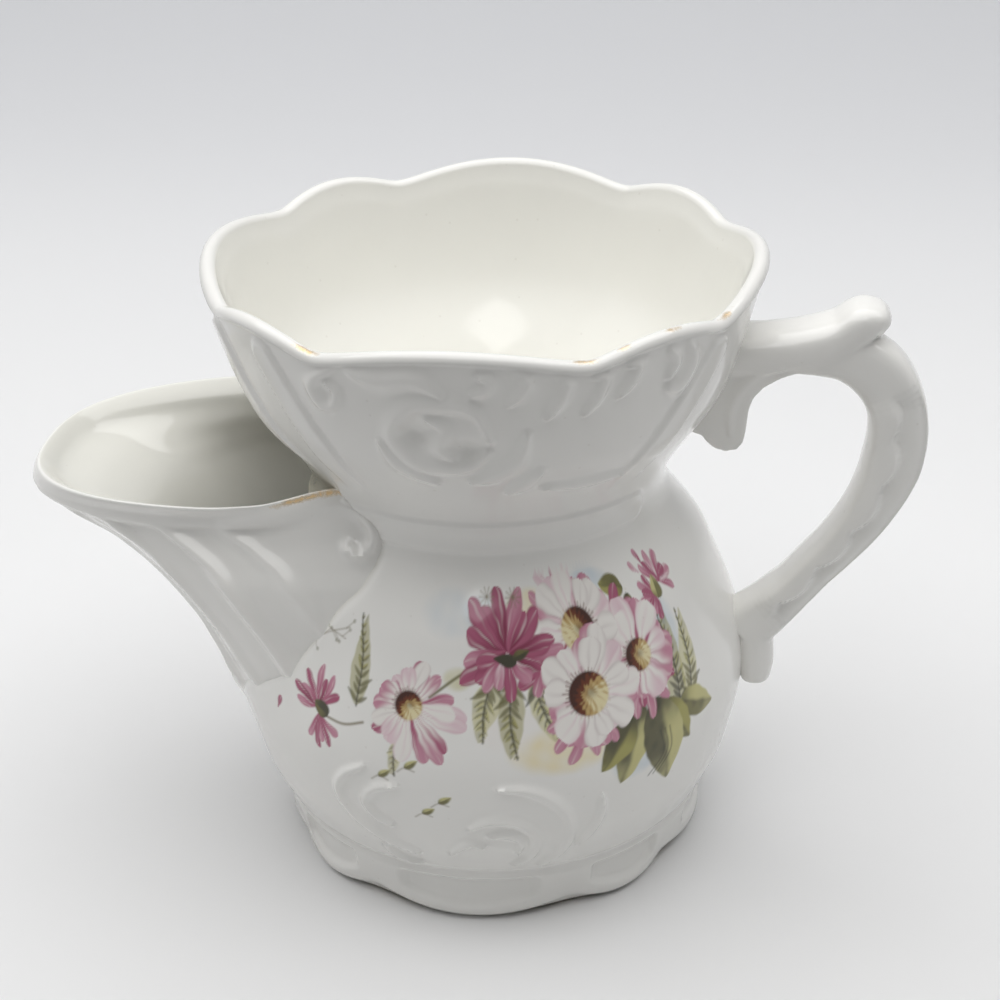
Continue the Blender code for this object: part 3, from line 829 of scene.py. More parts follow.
def daisy(canvas, centre, radius, petals, behind, dresses, eye, tilt, lean=0.0, stretch=0.0, slim=1.0):
    # a back ring of petals that show between, then the front ring; dresses give root, tip and vein inks
    start = 0.7 * eye
    for ring, inks in enumerate((behind, dresses)):
        for k in range(petals):
            heading = lean + 360 * (k + 0.5 * ring) / petals + 11 * math.sin(k * 2.7 + ring)
            length = radius * (1 + stretch * math.cos(math.radians(heading - lean)))
            length *= 0.93 + 0.12 * math.sin(k * 1.9 + 2 * ring)
            width = slim * 2 * math.pi * radius / petals * (0.92 + 0.16 * math.sin(k * 2.2))
            bend = 0.12 * math.sin(k * 3.1 + ring)
            base = away(centre, heading, start)
            petal(canvas, base, heading, length - start, width, inks[k % len(inks)], bend)
    heart(canvas, centre, (eye, eye * 0.92), tilt)


def fan(canvas, base, heading, spread, count, length, width, dresses):
    # petals seen from the side, spread from a calyx
    for k in range(count):
        share = k / (count - 1) - 0.5
        size = length * (1.0 - 0.3 * abs(share)) * (0.9 + 0.14 * math.sin(k * 2.3))
        bend = 0.14 * math.sin(k * 1.7)
        petal(canvas, base, heading + spread * share, size, width, dresses[k % len(dresses)], bend)


def leafBlade(canvas, base, heading, length, width, dark, light, strength=1.0):
    def paint(a, b):
        shift = ragged(a, b, heading) * min(1.0, width / 3)
        along, across = facing(a, b, base, heading)
        t = (along + shift) / length
        w = (across + shift) / (width / 2)
        shape = np.clip(np.sin(np.pi * np.clip(t, 0, 1) ** 0.75), 0, 1) ** 0.8
        cover = softEdge((shape - np.abs(w)) * width / 2) * (t > 0) * (t < 1)
        lit = ease(w * 2.2 + 0.35) * ease((t + 0.05) / 0.5)
        rgb = mix(spray[dark], spray[light], 0.12 + 0.88 * lit)
        rgb = mix(rgb, spray[light], 0.6 * ease((t - 0.55) / 0.4))
        cloud = np.clip(np.sin(a * 1.7 + heading) * np.sin(b * 1.5 - a * 0.6), 0, 1)
        shaded = 0.35 * cloud * (1 - lit) + 0.35 * bell(w / 0.1)  # clouds, and the midrib
        return strength * cover, mix(rgb, spray["shade"], np.clip(shaded, 0, 1))

    brushRound(canvas, base, length, paint)


def fern(canvas, base, heading, length, width, pairs, dark, light):
    def along(share):
        return away(base, heading + 14 * share, length * share)

    leafBlade(canvas, base, heading + 9, length, width * 1.45, light, light, 0.6)
    for k in range(pairs):
        share = (k + 0.5) / pairs
        size = width * (1.02 - share) ** 0.6
        ink = dark if share < 0.35 else light
        for side in (1, -1):
            turn = heading + 14 * share + side * (50 - 16 * share) + 9 * math.sin(k * 2.6 + side)
            reach = size * (1.0 + 0.2 * math.sin(k * 1.7 + 2 * side))
            leafBlade(canvas, along(share), turn, reach, size * 0.22 + 0.2, dark, ink, 0.75)
    pen(canvas, [base, along(0.5), along(1.0)], 0.2, "shade", 0.85)


def twig(canvas, points, shoots):
    pen(canvas, points, 0.1, "twig", 0.6)
    path = curvePath(points)
    for k in range(shoots):
        place = path[int((k + 0.7) / shoots * (len(path) - 1))]
        tip = (place[0] + 1.4, place[1] + (1.3 if k % 2 else -1.3))
        pen(canvas, [tuple(place), tip], 0.08, "twig", 0.5)
        wash(canvas, tip, (0.4, 0.35), "moss", 0.45)


def paintSpray(edges, columns, fine):
    girth = bodyRadius(32.0)
    cell = 2 * np.pi / columns
    start = -np.pi / 2 + spray["from"][0] / girth
    end = -np.pi / 2 + spray["to"][0] / girth
    firstColumn = math.floor(start / cell)
    count = math.ceil(end / cell) - firstColumn
    firstRow = int(np.searchsorted(edges, spray["from"][1]))
    lastRow = int(np.searchsorted(edges, spray["to"][1]))
    window = {"row": firstRow, "rows": lastRow - firstRow, "column": firstColumn % columns, "columns": count}
    u = np.arange(window["rows"] * fine + 1) / fine + firstRow
    v = np.arange(count * fine + 1) / fine + firstColumn
    canvas = {"a": (v * cell + np.pi / 2) * girth, "b": np.interp(u, np.arange(len(edges)), edges)}
    shape = (len(u), len(v))
    canvas["rgb"] = np.broadcast_to(glaze["white"], (*shape, 3)).copy()
    canvas["cover"] = np.zeros(shape)
    drawBunch(canvas)
    return canvas, window


def drawBunch(canvas):
    # pale grounds behind the flowers
    for centre, size, ink, strength in (
        ((16.5, 36.6), (9.0, 4.2), "butter", 0.85),
        ((13.0, 57.0), (5.0, 2.6), "butter", 0.7),
        ((25.5, 59.0), (5.0, 1.8), "sky", 0.7),
        ((38.5, 49.0), (4.0, 6.0), "sky", 0.75),
        ((28.5, 32.0), (4.6, 3.6), "sky", 0.7),
        ((-2.0, 56.5), (6.0, 3.4), "sky", 0.35),
        ((4.0, 56.8), (4.5, 2.2), "sky", 0.6),
        ((7.5, 41.0), (6.0, 4.0), "white", 0.8),
        ((-0.5, 47.8), (2.6, 1.8), "lime", 0.6),
    ):
        wash(canvas, centre, size, ink, strength)
    # twigs on the left, stems
    twig(canvas, [(-35.0, 47.4), (-30.0, 48.2), (-25.0, 50.8), (-21.5, 52.2)], 6)
    twig(canvas, [(-31.0, 53.8), (-27.0, 51.6), (-22.0, 50.4)], 4)
    pen(canvas, [(-23.5, 38.4), (-19.5, 38.2), (-16.0, 39.4)], 0.3, "twig", 0.9)
    pen(canvas, [(-5.0, 45.0), (0.0, 48.4), (5.5, 51.0)], 0.34, "moss", 0.9)
    pen(canvas, [(8.0, 51.0), (13.0, 50.2), (18.5, 50.6)], 0.4, "moss", 0.9)
    # fern: one sprig on the left, three hanging in the middle, tall ones on the right
    for base, heading, length, width, pairs, dark, light in (
        ((-17.6, 41.6), 84, 13.0, 2.5, 11, "moss", "leaf"),
        ((5.4, 48.2), 246, 9.6, 3.0, 10, "moss", "lime"),
        ((8.6, 47.6), 258, 11.6, 3.0, 11, "moss", "leaf"),
        ((12.2, 48.4), 276, 10.6, 2.8, 10, "shade", "lime"),
        ((38.0, 35.5), 76, 17.5, 3.0, 15, "shade", "leaf"),
        ((41.0, 37.0), 68, 14.0, 2.8, 12, "moss", "lime"),
        ((-9.6, 38.4), 250, 6.6, 1.6, 7, "twig", "lime"),
    ):
        fern(canvas, base, heading, length, width, pairs, dark, light)
    for x, y in ((-13.0, 31.2), (-6.2, 25.0), (-3.4, 27.6), (-8.6, 33.6)):
        leafBlade(canvas, (x, y), 35, 2.6, 1.3, "moss", "lime")
        pen(canvas, [(x - 1.2, y - 0.9), (x, y), (x + 1.6, y - 0.4)], 0.14, "twig", 0.6)
    # broad leaves at the foot of the bunch
    for base, heading, length, width, dark, light in (
        ((30.0, 40.8), 252, 13.5, 6.6, "shade", "lime"),
        ((38.4, 38.0), 336, 8.6, 5.0, "moss", "lime"),
        ((34.6, 39.4), 303, 10.0, 5.4, "shade", "leaf"),
        ((33.4, 40.4), 277, 15.5, 8.4, "shade", "lime"),
        ((28.4, 38.6), 230, 9.5, 5.2, "shade", "leaf"),
    ):
        leafBlade(canvas, base, heading, length, width, dark, light)
    for k in range(3):
        pen(canvas, [(35.4 - k, 35.0), (35.6 - k * 0.8, 31.0), (33.2 - k, 27.4)], 0.16, "shade", 0.7)
    leafBlade(canvas, (33.0, 56.8), 165, 5.2, 3.2, "moss", "leaf")
    leafBlade(canvas, (33.4, 56.0), 255, 3.6, 2.2, "shade", "leaf")
    wash(canvas, (31.6, 40.0), (4.6, 2.4), "shade", 0.8)
    # flowers, back to front
    wine = ("wine", "rose", "wine", 0.6)
    rose = ("rose", "rose", "wine", 0.6)
    pink = ("rose", "pink", "rose", 0.6)
    blush = ("blush", "pink", "rose", 0.5)
    streaked = ("white", "rose", "pink", 0.6)
    pale = ("white", "blush", "pink", 0.35)
    white = ("white", "white", "blush", 0.7)
    clean = ("white", "white", "mist", 0.55)
    tipped = ("white", "pink", "rose", 0.45)
    fan(canvas, (42.0, 55.4), 60, 170, 7, 4.8, 1.3, [pink, blush, rose])
    fan(canvas, (39.6, 54.2), 190, 160, 7, 4.2, 1.3, [rose, pink])
    leafBlade(canvas, (40.2, 53.4), 80, 3.4, 2.4, "moss", "lime")
    petal(canvas, (40.2, 58.0), 112, 2.8, 1.1, pink)
    petal(canvas, (38.4, 57.4), 140, 2.6, 1.0, blush)
    fan(canvas, (28.0, 51.4), 58, 110, 6, 7.4, 2.2, [rose, pink, blush])
    fan(canvas, (14.6, 49.4), 196, 90, 5, 6.2, 2.0, [rose, pink, wine])
    fan(canvas, (32.0, 45.6), 280, 120, 7, 8.4, 1.9, [pink, blush, rose, pink])
    behind, front = [pink, blush, tipped], [pale, white, pale, tipped]
    daisy(canvas, (32.0, 47.4), 7.8, 10, behind, front, eye=2.6, tilt=170, lean=70, stretch=0.1, slim=0.9)
    fan(canvas, (20.4, 54.4), 140, 70, 5, 9.4, 1.6, [blush, pale, pink])
    behind, front = [blush, pale, pink], [clean, white, clean, clean]
    daisy(canvas, (21.4, 53.4), 8.0, 11, behind, front, eye=3.2, tilt=20, lean=150, stretch=0.06, slim=0.9)
    fan(canvas, (7.8, 51.4), 118, 216, 11, 9.6, 2.6, [wine, rose, wine, pink, wine])
    fan(canvas, (7.8, 51.2), 268, 150, 6, 6.8, 2.3, [rose, pink, blush])
    fan(canvas, (8.6, 51.2), 0, 40, 4, 9.8, 2.0, [wine, pink, rose])
    leafBlade(canvas, (9.8, 50.2), 172, 4.2, 2.0, "shade", "shade")
    leafBlade(canvas, (9.0, 50.6), 20, 3.2, 1.6, "shade", "moss")
    fan(canvas, (20.4, 42.6), 258, 110, 7, 9.2, 1.9, [tipped, pink, blush, pink])
    behind, front = [pale, tipped, blush], [clean, clean, white, clean]
    daisy(canvas, (21.4, 44.2), 8.8, 12, behind, front, eye=3.5, tilt=150, lean=40, stretch=0.1, slim=0.92)
    behind, front = [streaked, pale, pink, tipped], [pale, white, tipped, clean]
    daisy(canvas, (-8.4, 43.4), 7.6, 11, behind, front, eye=2.3, tilt=130, lean=-45, stretch=0.3, slim=0.6)
    fan(canvas, (-25.0, 39.2), 112, 150, 8, 6.6, 1.3, [rose, pink, wine, pink])
    fan(canvas, (-24.4, 38.2), 285, 80, 5, 6.0, 1.3, [pink, rose])
    leafBlade(canvas, (-22.6, 38.6), 158, 3.6, 2.6, "shade", "moss")
    petal(canvas, (-34.5, 35.2), 70, 2.4, 1.0, rose)
    # two small bursts of fine lines
    for x, y in ((4.6, 58.6), (9.8, 58.4)):
        for k in range(10):
            pen(canvas, [(x, y), away((x, y), 36 * k, (1.5, 1.2))], 0.12, "twig", 0.55)


# brush spout: a thick fluted leaf that runs out to a rolled lip
spout = {
    "toe": 14.0,
    "lip": 66.8,
    # by height: how far the keel and the hollow reach out, and half the width
    "keel": [
        (14, 34), (17, 38.5), (20, 44), (22, 45), (25, 45.9), (34, 46), (40, 47.9),
        (46, 51.6), (52, 56.3), (57, 62.3), (61, 70.6), (64, 75.8), (66.8, 75.3),
    ],
    "hollow": [
        (14, 31), (20, 40.4), (25, 42.9), (34, 43.2), (40, 44.8), (46, 48.2),
        (52, 52.3), (57, 57), (61, 63.6), (64, 70.2), (66.8, 72.5),
    ],
    "halfWidth": [
        (14, 7.5), (17, 9.5), (23, 15.5), (28.4, 20.9), (36.3, 28), (41.6, 29.8),
        (49.4, 30.2), (54.2, 29.5), (57.5, 27.8), (61, 25.9), (64, 25.5), (66.8, 27.5),
    ],
    "centre": 25.0,
    "back": 6.0,
    "wall": 2.8,
    "lipRise": 3.5,
    "tipRise": 2.0,  # the lip turns up where it meets the bowl
    "tipNarrow": 0.12,
    "squareness": 0.59,
    "rows": 92,
    "lipRows": 14,
    "sideColumns": 38,
    "frontColumns": 220,
    "ridges": [(5.5, 0.8), (16.0, 1.0), (27.0, 0.6), (38.5, 1.0), (49.0, 0.7)],  # mm from the keel, strength
    "ridgeWidth": 1.9,
    "ridgeHeight": 1.25,
    "lipBand": [(-80, 4.6), (-45, 4.2), (-30, 3.4), (-24, 2.6), (-18, 1.6)],
    "settle": 0.7,  # the ground between the ridges lies this much under the outline
    "lipOut": 0.6,
    "lipThin": 0.4,
    "lipRoll": 2.0,  # how far down the lip starts to round over
    "scroll": [
        (-38, 65.6), (-30, 67.2), (-23.4, 69.2), (-19, 69.6), (-15.6, 68),
        (-14.3, 65.4), (-15, 63), (-17, 62.2), (-18.6, 63),
    ],
    "scrollWidth": 4.0,
    "scrollHeight": 1.9,
    "mouth": (42.0, 78.0),  # heights between which the way in gets painted shade
    "filletReach": 4.5,
    "filletHeight": 0.5,
}


spoutTall = spout["lip"] - spout["toe"]


def spoutShares():
    # rows from the toe up, closer together where the lip rolls over
    top = 2.4 / spoutTall
    low = np.linspace(0, 1 - top, spout["rows"], endpoint=False)
    return np.concatenate([low, 1 - top * np.linspace(1, 0, spout["lipRows"]) ** 1.6])[:, None]


def lipRise(x, share=1.0):
    # how much higher than its own level a place lies: the lip climbs towards the bowl
    out = spout["keel"][-1][1]
    tip = ease((share - 0.8) / 0.2) * ease((x + 33) / 13)
    return share * spout["lipRise"] * (out + x) / out + spout["tipRise"] * tip


def spoutSheet(share, inset=None):
    # one side of the spout's wall as rows of places, back edge to back edge
    level = spout["toe"] + share * spoutTall
    reach = smoothThrough(spout["keel"], level)
    half = smoothThrough(spout["halfWidth"], level)
    if inset is not None:
        reach = smoothThrough(spout["hollow"], level) + spout["wall"] - inset
        half = half - inset
    power = 2 / (2 + spout["squareness"] * ease(2 * share - 1))
    turn = np.radians(np.linspace(-90, 90, spout["frontColumns"]))[None]
    x = -spout["centre"] - (reach - spout["centre"]) * np.abs(np.cos(turn)) ** power
    y = half * np.sign(turn) * np.abs(np.sin(turn)) ** power
    side = np.linspace(-spout["back"], -spout["centre"], spout["sideColumns"], endpoint=False)[None]
    flat = np.broadcast_to(side, (len(share), spout["sideColumns"]))
    x = np.concatenate([flat, x, flat[:, ::-1]], 1)
    edge = np.broadcast_to(half, flat.shape)
    y = np.concatenate([-edge, y, edge], 1)
    y = y * (1 - spout["tipNarrow"] * ease((share - 0.93) / 0.07) * ease((x + 42) / 22))
    return np.stack([x, y, level + lipRise(x, share)], -1)


def spoutRelief(place, share):
    # narrow ridges that run with the keel, a scroll on both sides, the rolled band along the lip
    step = np.hypot(*np.moveaxis(np.diff(place[..., :2], axis=1), -1, 0))
    around = np.concatenate([np.zeros((len(share), 1)), np.cumsum(step, 1)], 1)
    around = np.abs(around - around[:, -1:] / 2)
    height = np.zeros(around.shape)
    for centre, strength in spout["ridges"]:
        height = np.maximum(height, strength * bell((around - centre) / spout["ridgeWidth"]))
    height = spout["ridgeHeight"] * height * ease((share - 0.06) / 0.34)
    x, z = place[..., 0], place[..., 2]
    scroll = stroke(x.ravel(), z.ravel(), curvePath(spout["scroll"]), spout["scrollWidth"], 0.7)
    scroll = scroll.reshape(height.shape)
    deep = np.interp(x, *np.array(spout["lipBand"]).T)
    below = (1 - share) * spoutTall
    band = ease((deep + 0.7 - below) / 1.4)
    groove = bell(below - deep - 0.9) * ease((-24 - x) / 8)
    height = height * ease((below - deep + 0.6) / 1.8) * (1 - ease(scroll * 2))
    return height + spout["lipOut"] * band - 0.3 * groove + spout["scrollHeight"] * scroll * (1 - 0.6 * band)


def gridNormals(place):
    along = np.gradient(place, axis=0)
    across = np.gradient(place, axis=1)
    normal = np.cross(along, across)
    return normal / np.maximum(np.linalg.norm(normal, axis=-1, keepdims=True), 1e-9)


def sheetFaces(first, rows, columns):
    i = np.arange(rows - 1)[:, None] * columns
    j = np.arange(columns - 1)[None]
    corner = first + i + j
    return np.stack([corner, corner + 1, corner + columns + 1, corner + columns], -1).reshape(-1, 4)


def boundary(first, rows, columns):
    # the points round a sheet's edge, in order
    index = first + np.arange(rows * columns).reshape(rows, columns)
    return np.concatenate([index[0], index[1:, -1], index[-1, -2::-1], index[-2:0:-1, 0]])


def spoutSolid():
    share = spoutShares()
    rows = len(share)
    outer = spoutSheet(share)
    normal = gridNormals(outer)
    normal[..., 2] *= 0.35
    settle = spout["settle"] * (ease(share / 0.2) + ease((share - 0.88) / 0.1))
    outer = outer + normal * (spoutRelief(outer, share) - settle)[..., None]
    inner = spoutSheet(share, spout["wall"] - spout["lipThin"] * ease((share - 0.86) / 0.12))
    inner[..., 2] += (1 - share) ** 4 * 2.0
    # roll the lip over: pull the top rows of both sides together in a half round
    drop = (1 - share) * spoutTall / spout["lipRoll"]
    pull = np.where(drop < 1, 1 - np.sqrt(np.clip(1 - (1 - drop) ** 2, 0, 1)), 0)[..., None]
    middle = (outer + inner) / 2
    outer, inner = (side + (middle - side) * pull * 0.92 for side in (outer, inner))
    columns = outer.shape[1]
    count = rows * columns
    points = np.concatenate([outer.reshape(-1, 3), inner.reshape(-1, 3)])
    faces = sheetFaces(0, rows, columns).tolist()
    faces += sheetFaces(count, rows, columns)[:, ::-1].tolist()
    front, behind = boundary(0, rows, columns), boundary(count, rows, columns)
    faces += np.stack([np.roll(front, -1), front, behind, np.roll(behind, -1)], -1).tolist()
    return points, faces


def coreSolid():
    # what the wall keeps to itself: trims the pieces that are stuck to it
    z = np.linspace(0.5, 99.5, 110)
    angles = fullTurn(180)
    a, r, h = turnedGrid(angles, bodyRadius(z) - body["sunk"], z)
    points = np.stack([r * np.cos(a), r * np.sin(a), h], -1)
    return solidObject("core", points, tubeFaces(len(z), len(angles)))


def cut(piece, cutter):
    modifier = piece.modifiers.new("cut", "BOOLEAN")
    modifier.operation = "DIFFERENCE"
    modifier.solver = "MANIFOLD"
    modifier.object = cutter
    freeze(piece)
    bpy.data.objects.remove(cutter, do_unlink=True)


def freeze(piece):
    bpy.context.view_layer.update()
    graph = bpy.context.evaluated_depsgraph_get()
    mesh = bpy.data.meshes.new_from_object(piece.evaluated_get(graph))
    piece.modifiers.clear()
    old = piece.data
    name = old.name
    piece.data = mesh
    bpy.data.meshes.remove(old)
    mesh.name = name


def pointsOf(mesh):
    flat = np.zeros(len(mesh.vertices) * 3, np.float32)
    mesh.vertices.foreach_get("co", flat)
    return (flat.reshape(-1, 3) - axis) / mm


def buildSpout():
    piece = solidObject("glazed_spout", *spoutSolid())
    cut(piece, coreSolid())
    x, y, z = pointsOf(piece.data).T
    # the spout's inner side is painted darker, as painted shade
    normal = np.array([tuple(side.vector) for side in piece.data.vertex_normals])
    beyond = np.minimum(x + spout["centre"], 0)
    inside = ease(-(beyond * normal[:, 0] + y * normal[:, 1]) / 12)
    # a little gold is left on the lip: near the bowl on the front side, and faintly at the tip
    onLip = bell((z - spout["lip"] - lipRise(x) + 0.4) / 0.75) * (z > 55)
    worn = 1.15 * ease((x + 36) / 9) * (y < 0) + 0.35 * bell((x + 62) / 9)
    paintGlaze(piece.data, mix(glaze["white"], glaze["paintedInsideShade"], inside), onLip * worn)
    dressPiece(piece, "spout", whiteGlaze)
    print("spout:", len(x), "points")


def channelSolid():
    # the way from the pot into the spout
    inner = spoutSheet(np.linspace(0, 1, 40)[:, None], spout["wall"] - 0.4)[6:]
    inner = np.concatenate([inner, inner[-1:] + np.array([0, 0, 8.0])])
    return solidObject("channel", inner.reshape(-1, 3), tubeFaces(*inner.shape[:2]))


# loop handle: swept bars melted together, with a leaf over the thumb, a bracket leaf and a scalloped band
handle = {
    # (x, height, thickness) along each bar, in mm
    "loop": [
        (46, 86.4, 5), (52, 86.8, 6.6), (56.8, 86.6, 8.6), (60.9, 84.2, 9.4), (63.9, 79.6, 9.2),
        (64.9, 73.9, 9.5), (64.3, 68.2, 9.6), (61.6, 60.8, 8.2), (56.4, 52.7, 6.8), (53, 48.6, 6.5),
        (50, 44.8, 6.6), (46.6, 41.2, 7.8), (42.0, 36.8, 9.4),
    ],
    "arm": [
        (34, 86.4, 7.8), (44, 87.3, 6.8), (50.3, 88.3, 7), (55.2, 90.2, 6.4),
        (58.8, 92.4, 6.2), (60.6, 92.2, 5.4), (61.9, 91.4, 3.0),
    ],
    "tail": [(43.6, 40, 7), (44.0, 34.5, 6.8), (44.4, 30.6, 6.4), (44.6, 27.8, 5)],
    "bracket": [
        (30, 89), (30, 75.2), (32.1, 74.1), (34.3, 73.5), (35.2, 72.3), (36.5, 71.2),
        (38.2, 70.8), (39.9, 71.1), (40.9, 72.4), (41.3, 74.9), (41.5, 77.8), (42.2, 80.1),
        (43.8, 82), (46.2, 83.5), (48.5, 84.4), (48, 88),
    ],
    "bracketRib": [(46.5, 85.6), (42, 83.6), (39.6, 80.4), (38.7, 77), (38.9, 73.8)],
    "ribWidth": 2.6,
    "ribHeight": 0.5,
    "loopWidth": 9.0,
    "armWidth": 10.8,
    "bracketWidth": 8.6,
    "loopSquare": 3.2,  # 2 is a round bar, more is squarer
    "armSquare": 2.8,
    "tailSquare": 2.4,
    "voxel": 0.36,
    "soften": 6,
    "bandHeight": 1.6,
    "bandSpan": (0.26, 0.93),  # from and to, as shares of the loop
    "scallops": 8.0,
    "scallopDeep": 1.3,
}


def sideways(line):
    # unit normals of a path
    tangent = np.gradient(line, axis=0)
    tangent /= np.linalg.norm(tangent, axis=1, keepdims=True)
    return np.stack([-tangent[:, 1], tangent[:, 0]], -1)


def sweptBar(stations, width, square):
    path = np.array(stations, float)
    line = curvePath(path[:, :2])
    along = lengthAlong(path[:, :2])
    thick = np.interp(np.linspace(0, along[-1], len(line)), along, path[:, 2])[:, None]
    wide = width * np.minimum(1, thick / (0.62 * width))
    turn = fullTurn(40)
    c = np.sign(np.cos(turn)) * np.abs(np.cos(turn)) ** (2 / square)
    s = np.sign(np.sin(turn)) * np.abs(np.sin(turn)) ** (2 / square)
    offset = sideways(line)[:, None] * (thick / 2 * c)[..., None]
    rings = np.stack([line[:, :1] + offset[..., 0], wide / 2 * s, line[:, 1:] + offset[..., 1]], -1)
    return rings.reshape(-1, 3), tubeFaces(*rings.shape[:2])


def prism(outline, width):
    points = [(x, side * width / 2, z) for side in (-1, 1) for x, z in outline]
    count = len(outline)
    faces = [list(range(count)), list(range(2 * count - 1, count - 1, -1))]
    faces += [[k, k + count, (k + 1) % count + count, (k + 1) % count] for k in range(count)]
    return np.array(points), faces


def buildHandle():
    points, faces, first = [], [], 0
    bars = [
        sweptBar(handle["loop"], handle["loopWidth"], handle["loopSquare"]),
        sweptBar(handle["arm"], handle["armWidth"], handle["armSquare"]),
        sweptBar(handle["tail"], handle["loopWidth"], handle["tailSquare"]),
        prism(handle["bracket"], handle["bracketWidth"]),
    ]
    for barPoints, barFaces in bars:
        points.append(barPoints)
        faces += [[first + k for k in face] for face in barFaces]
        first += len(barPoints)
    piece = solidObject("glazed_handle", np.concatenate(points), faces)
    remesh = piece.modifiers.new("melt", "REMESH")
    remesh.mode = "VOXEL"
    remesh.voxel_size = handle["voxel"] * mm
    smooth = piece.modifiers.new("soften", "SMOOTH")
    smooth.factor = 0.5
    smooth.iterations = handle["soften"]
    freeze(piece)
    cut(piece, coreSolid())
    place = carveHandle(pointsOf(piece.data)) * mm + axis
    piece.data.vertices.foreach_set("co", place.astype(np.float32).ravel())
    paintGlaze(piece.data, glaze["white"])
    dressPiece(piece, "handle", whiteGlaze)
    print("handle:", len(place), "points")


def carveHandle(place):
    # a raised band along the inner side of the loop, its outer border cut in scallops
    line = curvePath(np.array(handle["loop"])[:, :2])
    x, y, z = place.T
    nearest = np.hypot(x[:, None] - line[:, 0], z[:, None] - line[:, 1]).argmin(1)
    t = nearest / (len(line) - 1)
    outward = ((place[:, [0, 2]] - line[nearest]) * sideways(line)[nearest]).sum(1)
    border = handle["scallopDeep"] * np.abs(np.sin(np.pi * handle["scallops"] * t)) - 0.9
    band = ease((border - outward) / 1.5 + 0.5)
    start, end = handle["bandSpan"]
    along = ease((t - start) / 0.06) * ease((end - t) / 0.06)
    rib = stroke(x, z, curvePath(handle["bracketRib"]), handle["ribWidth"])
    lift = handle["bandHeight"] * (band - 0.6) * along + handle["ribHeight"] * rib
    y = y + np.sign(y) * lift * ease((np.abs(y) - 2.4) / 1.4)
    return np.stack([x, y, z], -1)


# drainer shelf in the bowl: a thin disc with rounded drain holes
shelf = {"radius": 25.8, "low": 65.0, "high": 68.1, "hole": 5.0, "circle": 12.5, "holes": 6, "edge": 0.7}


def roundBar(name, radius, low, high, centre=(0, 0), sides=64):
    turn = fullTurn(sides)
    x, y = centre[0] + radius * np.cos(turn), centre[1] + radius * np.sin(turn)
    ends = [np.stack([x, y, np.full(sides, z)], -1) for z in (low, high)]
    return solidObject(name, np.concatenate(ends), tubeFaces(2, sides))


def buildShelf():
    piece = roundBar("glazed_shelf", shelf["radius"], shelf["low"], shelf["high"], sides=160)
    middle = (0.0, 0.0)
    ring = [away(middle, 360 * k / shelf["holes"], shelf["circle"]) for k in range(shelf["holes"])]
    for spot in [middle] + ring:
        cut(piece, roundBar("drain", shelf["hole"] / 2, shelf["low"] - 2, shelf["high"] + 2, spot))
    edge = piece.modifiers.new("worn edges", "BEVEL")
    edge.width = shelf["edge"] * mm
    edge.segments = 4
    edge.limit_method = "ANGLE"
    freeze(piece)
    # the shelf is painted darker than the glaze, as painted shade
    paintGlaze(piece.data, glaze["paintedInsideShade"])
    dressPiece(piece, "soap_shelf", creamGlaze)
    print("shelf:", len(piece.data.vertices), "points")


for build in (buildBowl, buildPot, buildSpout, buildHandle, buildShelf):
    build()


# the studio: a pale sweep, a broad lamp overhead, soft panels at the sides
studio = {
    "floor": colour("e7e7e7"),
    "back": colour("c8c9cc"),
    "shade": colour("3c3c3c"),
    "ramp": (-0.40, 0.60),  # from the front of the paper to its back, by depth
    "pale": (0.33, 0.50),  # the stretch of the ramp that has the floor's colour
    "bend": 0.34,
    "bendRadius": 0.30,
    "wallTop": 1.6,
    "nearEdge": -1.6,
    "halfWidth": 2.2,
    "fade": (0.55, 1.0),  # how far out the paper turns into the sky
    "world": 0.02,
    "sky": 0.55,
    "lamps": [
        # name, place, target, size, watts
        ("overhead", (-0.02, 0.02, 1.0), (0.0, 0.0, 0.0), 1.6, 17.9),
        ("right panel", (0.85, 0.10, 0.40), (0.0, 0.0, 0.06), 0.9, 0.35),
        ("left panel", (-0.85, 0.02, 0.40), (0.0, 0.0, 0.06), 0.9, 1.0),
    ],
}


def seenDirectly(tree):
    # 1 for what the camera sees, also mirrored or through glass
    path = addNode(tree, "LightPath", {})
    seen = path["Is Camera Ray"]
    for kind in ("Is Glossy Ray", "Is Transmission Ray"):
        seen = mathNode(tree, "MAXIMUM", seen, path[kind])
    return seen


def paperMaterial():
    material, tree, shader = newMaterial("paper")
    material.cycles.emission_sampling = "NONE"
    shader.inputs["Roughness"].default_value = 0.9
    shader.inputs["Specular IOR Level"].default_value = 0.1
    place = addNode(tree, "TexCoord", {})["Object"]
    seen = seenDirectly(tree)
    # the near paper throws little light back, and still looks as pale as the rest
    depth = rangeNode(tree, addNode(tree, "SeparateXYZ", {"Vector": place})["Y"], studio["ramp"])
    along = mathNode(tree, "MAXIMUM", depth, mathNode(tree, "MULTIPLY", seen, studio["pale"][0]))
    ramp = tree.nodes.new("ShaderNodeValToRGB")
    ramp.color_ramp.interpolation = "EASE"
    ramp.color_ramp.elements[0].color = (*studio["shade"], 1)
    ramp.color_ramp.elements[1].color = (*studio["back"], 1)
    for position in studio["pale"]:
        ramp.color_ramp.elements.new(position).color = (*studio["floor"], 1)
    tree.links.new(along, ramp.inputs["Fac"])
    tree.links.new(ramp.outputs["Color"], shader.inputs["Base Color"])
    # far out it turns into the sky, so that none of its edges shows from other sides
    reach = addNode(tree, "VectorMath", {0: place}, operation="LENGTH")["Value"]
    far = rangeNode(tree, reach, studio["fade"], interpolation_type="SMOOTHSTEP")
    turned = mathNode(tree, "MULTIPLY", far, seen)
    sky = addNode(tree, "Emission", {"Strength": studio["sky"]})["Emission"]
    blend = addNode(tree, "MixShader", {"Fac": turned, 1: shader.outputs["BSDF"], 2: sky})["Shader"]
    tree.links.new(blend, tree.nodes["Material Output"].inputs["Surface"])
    return material


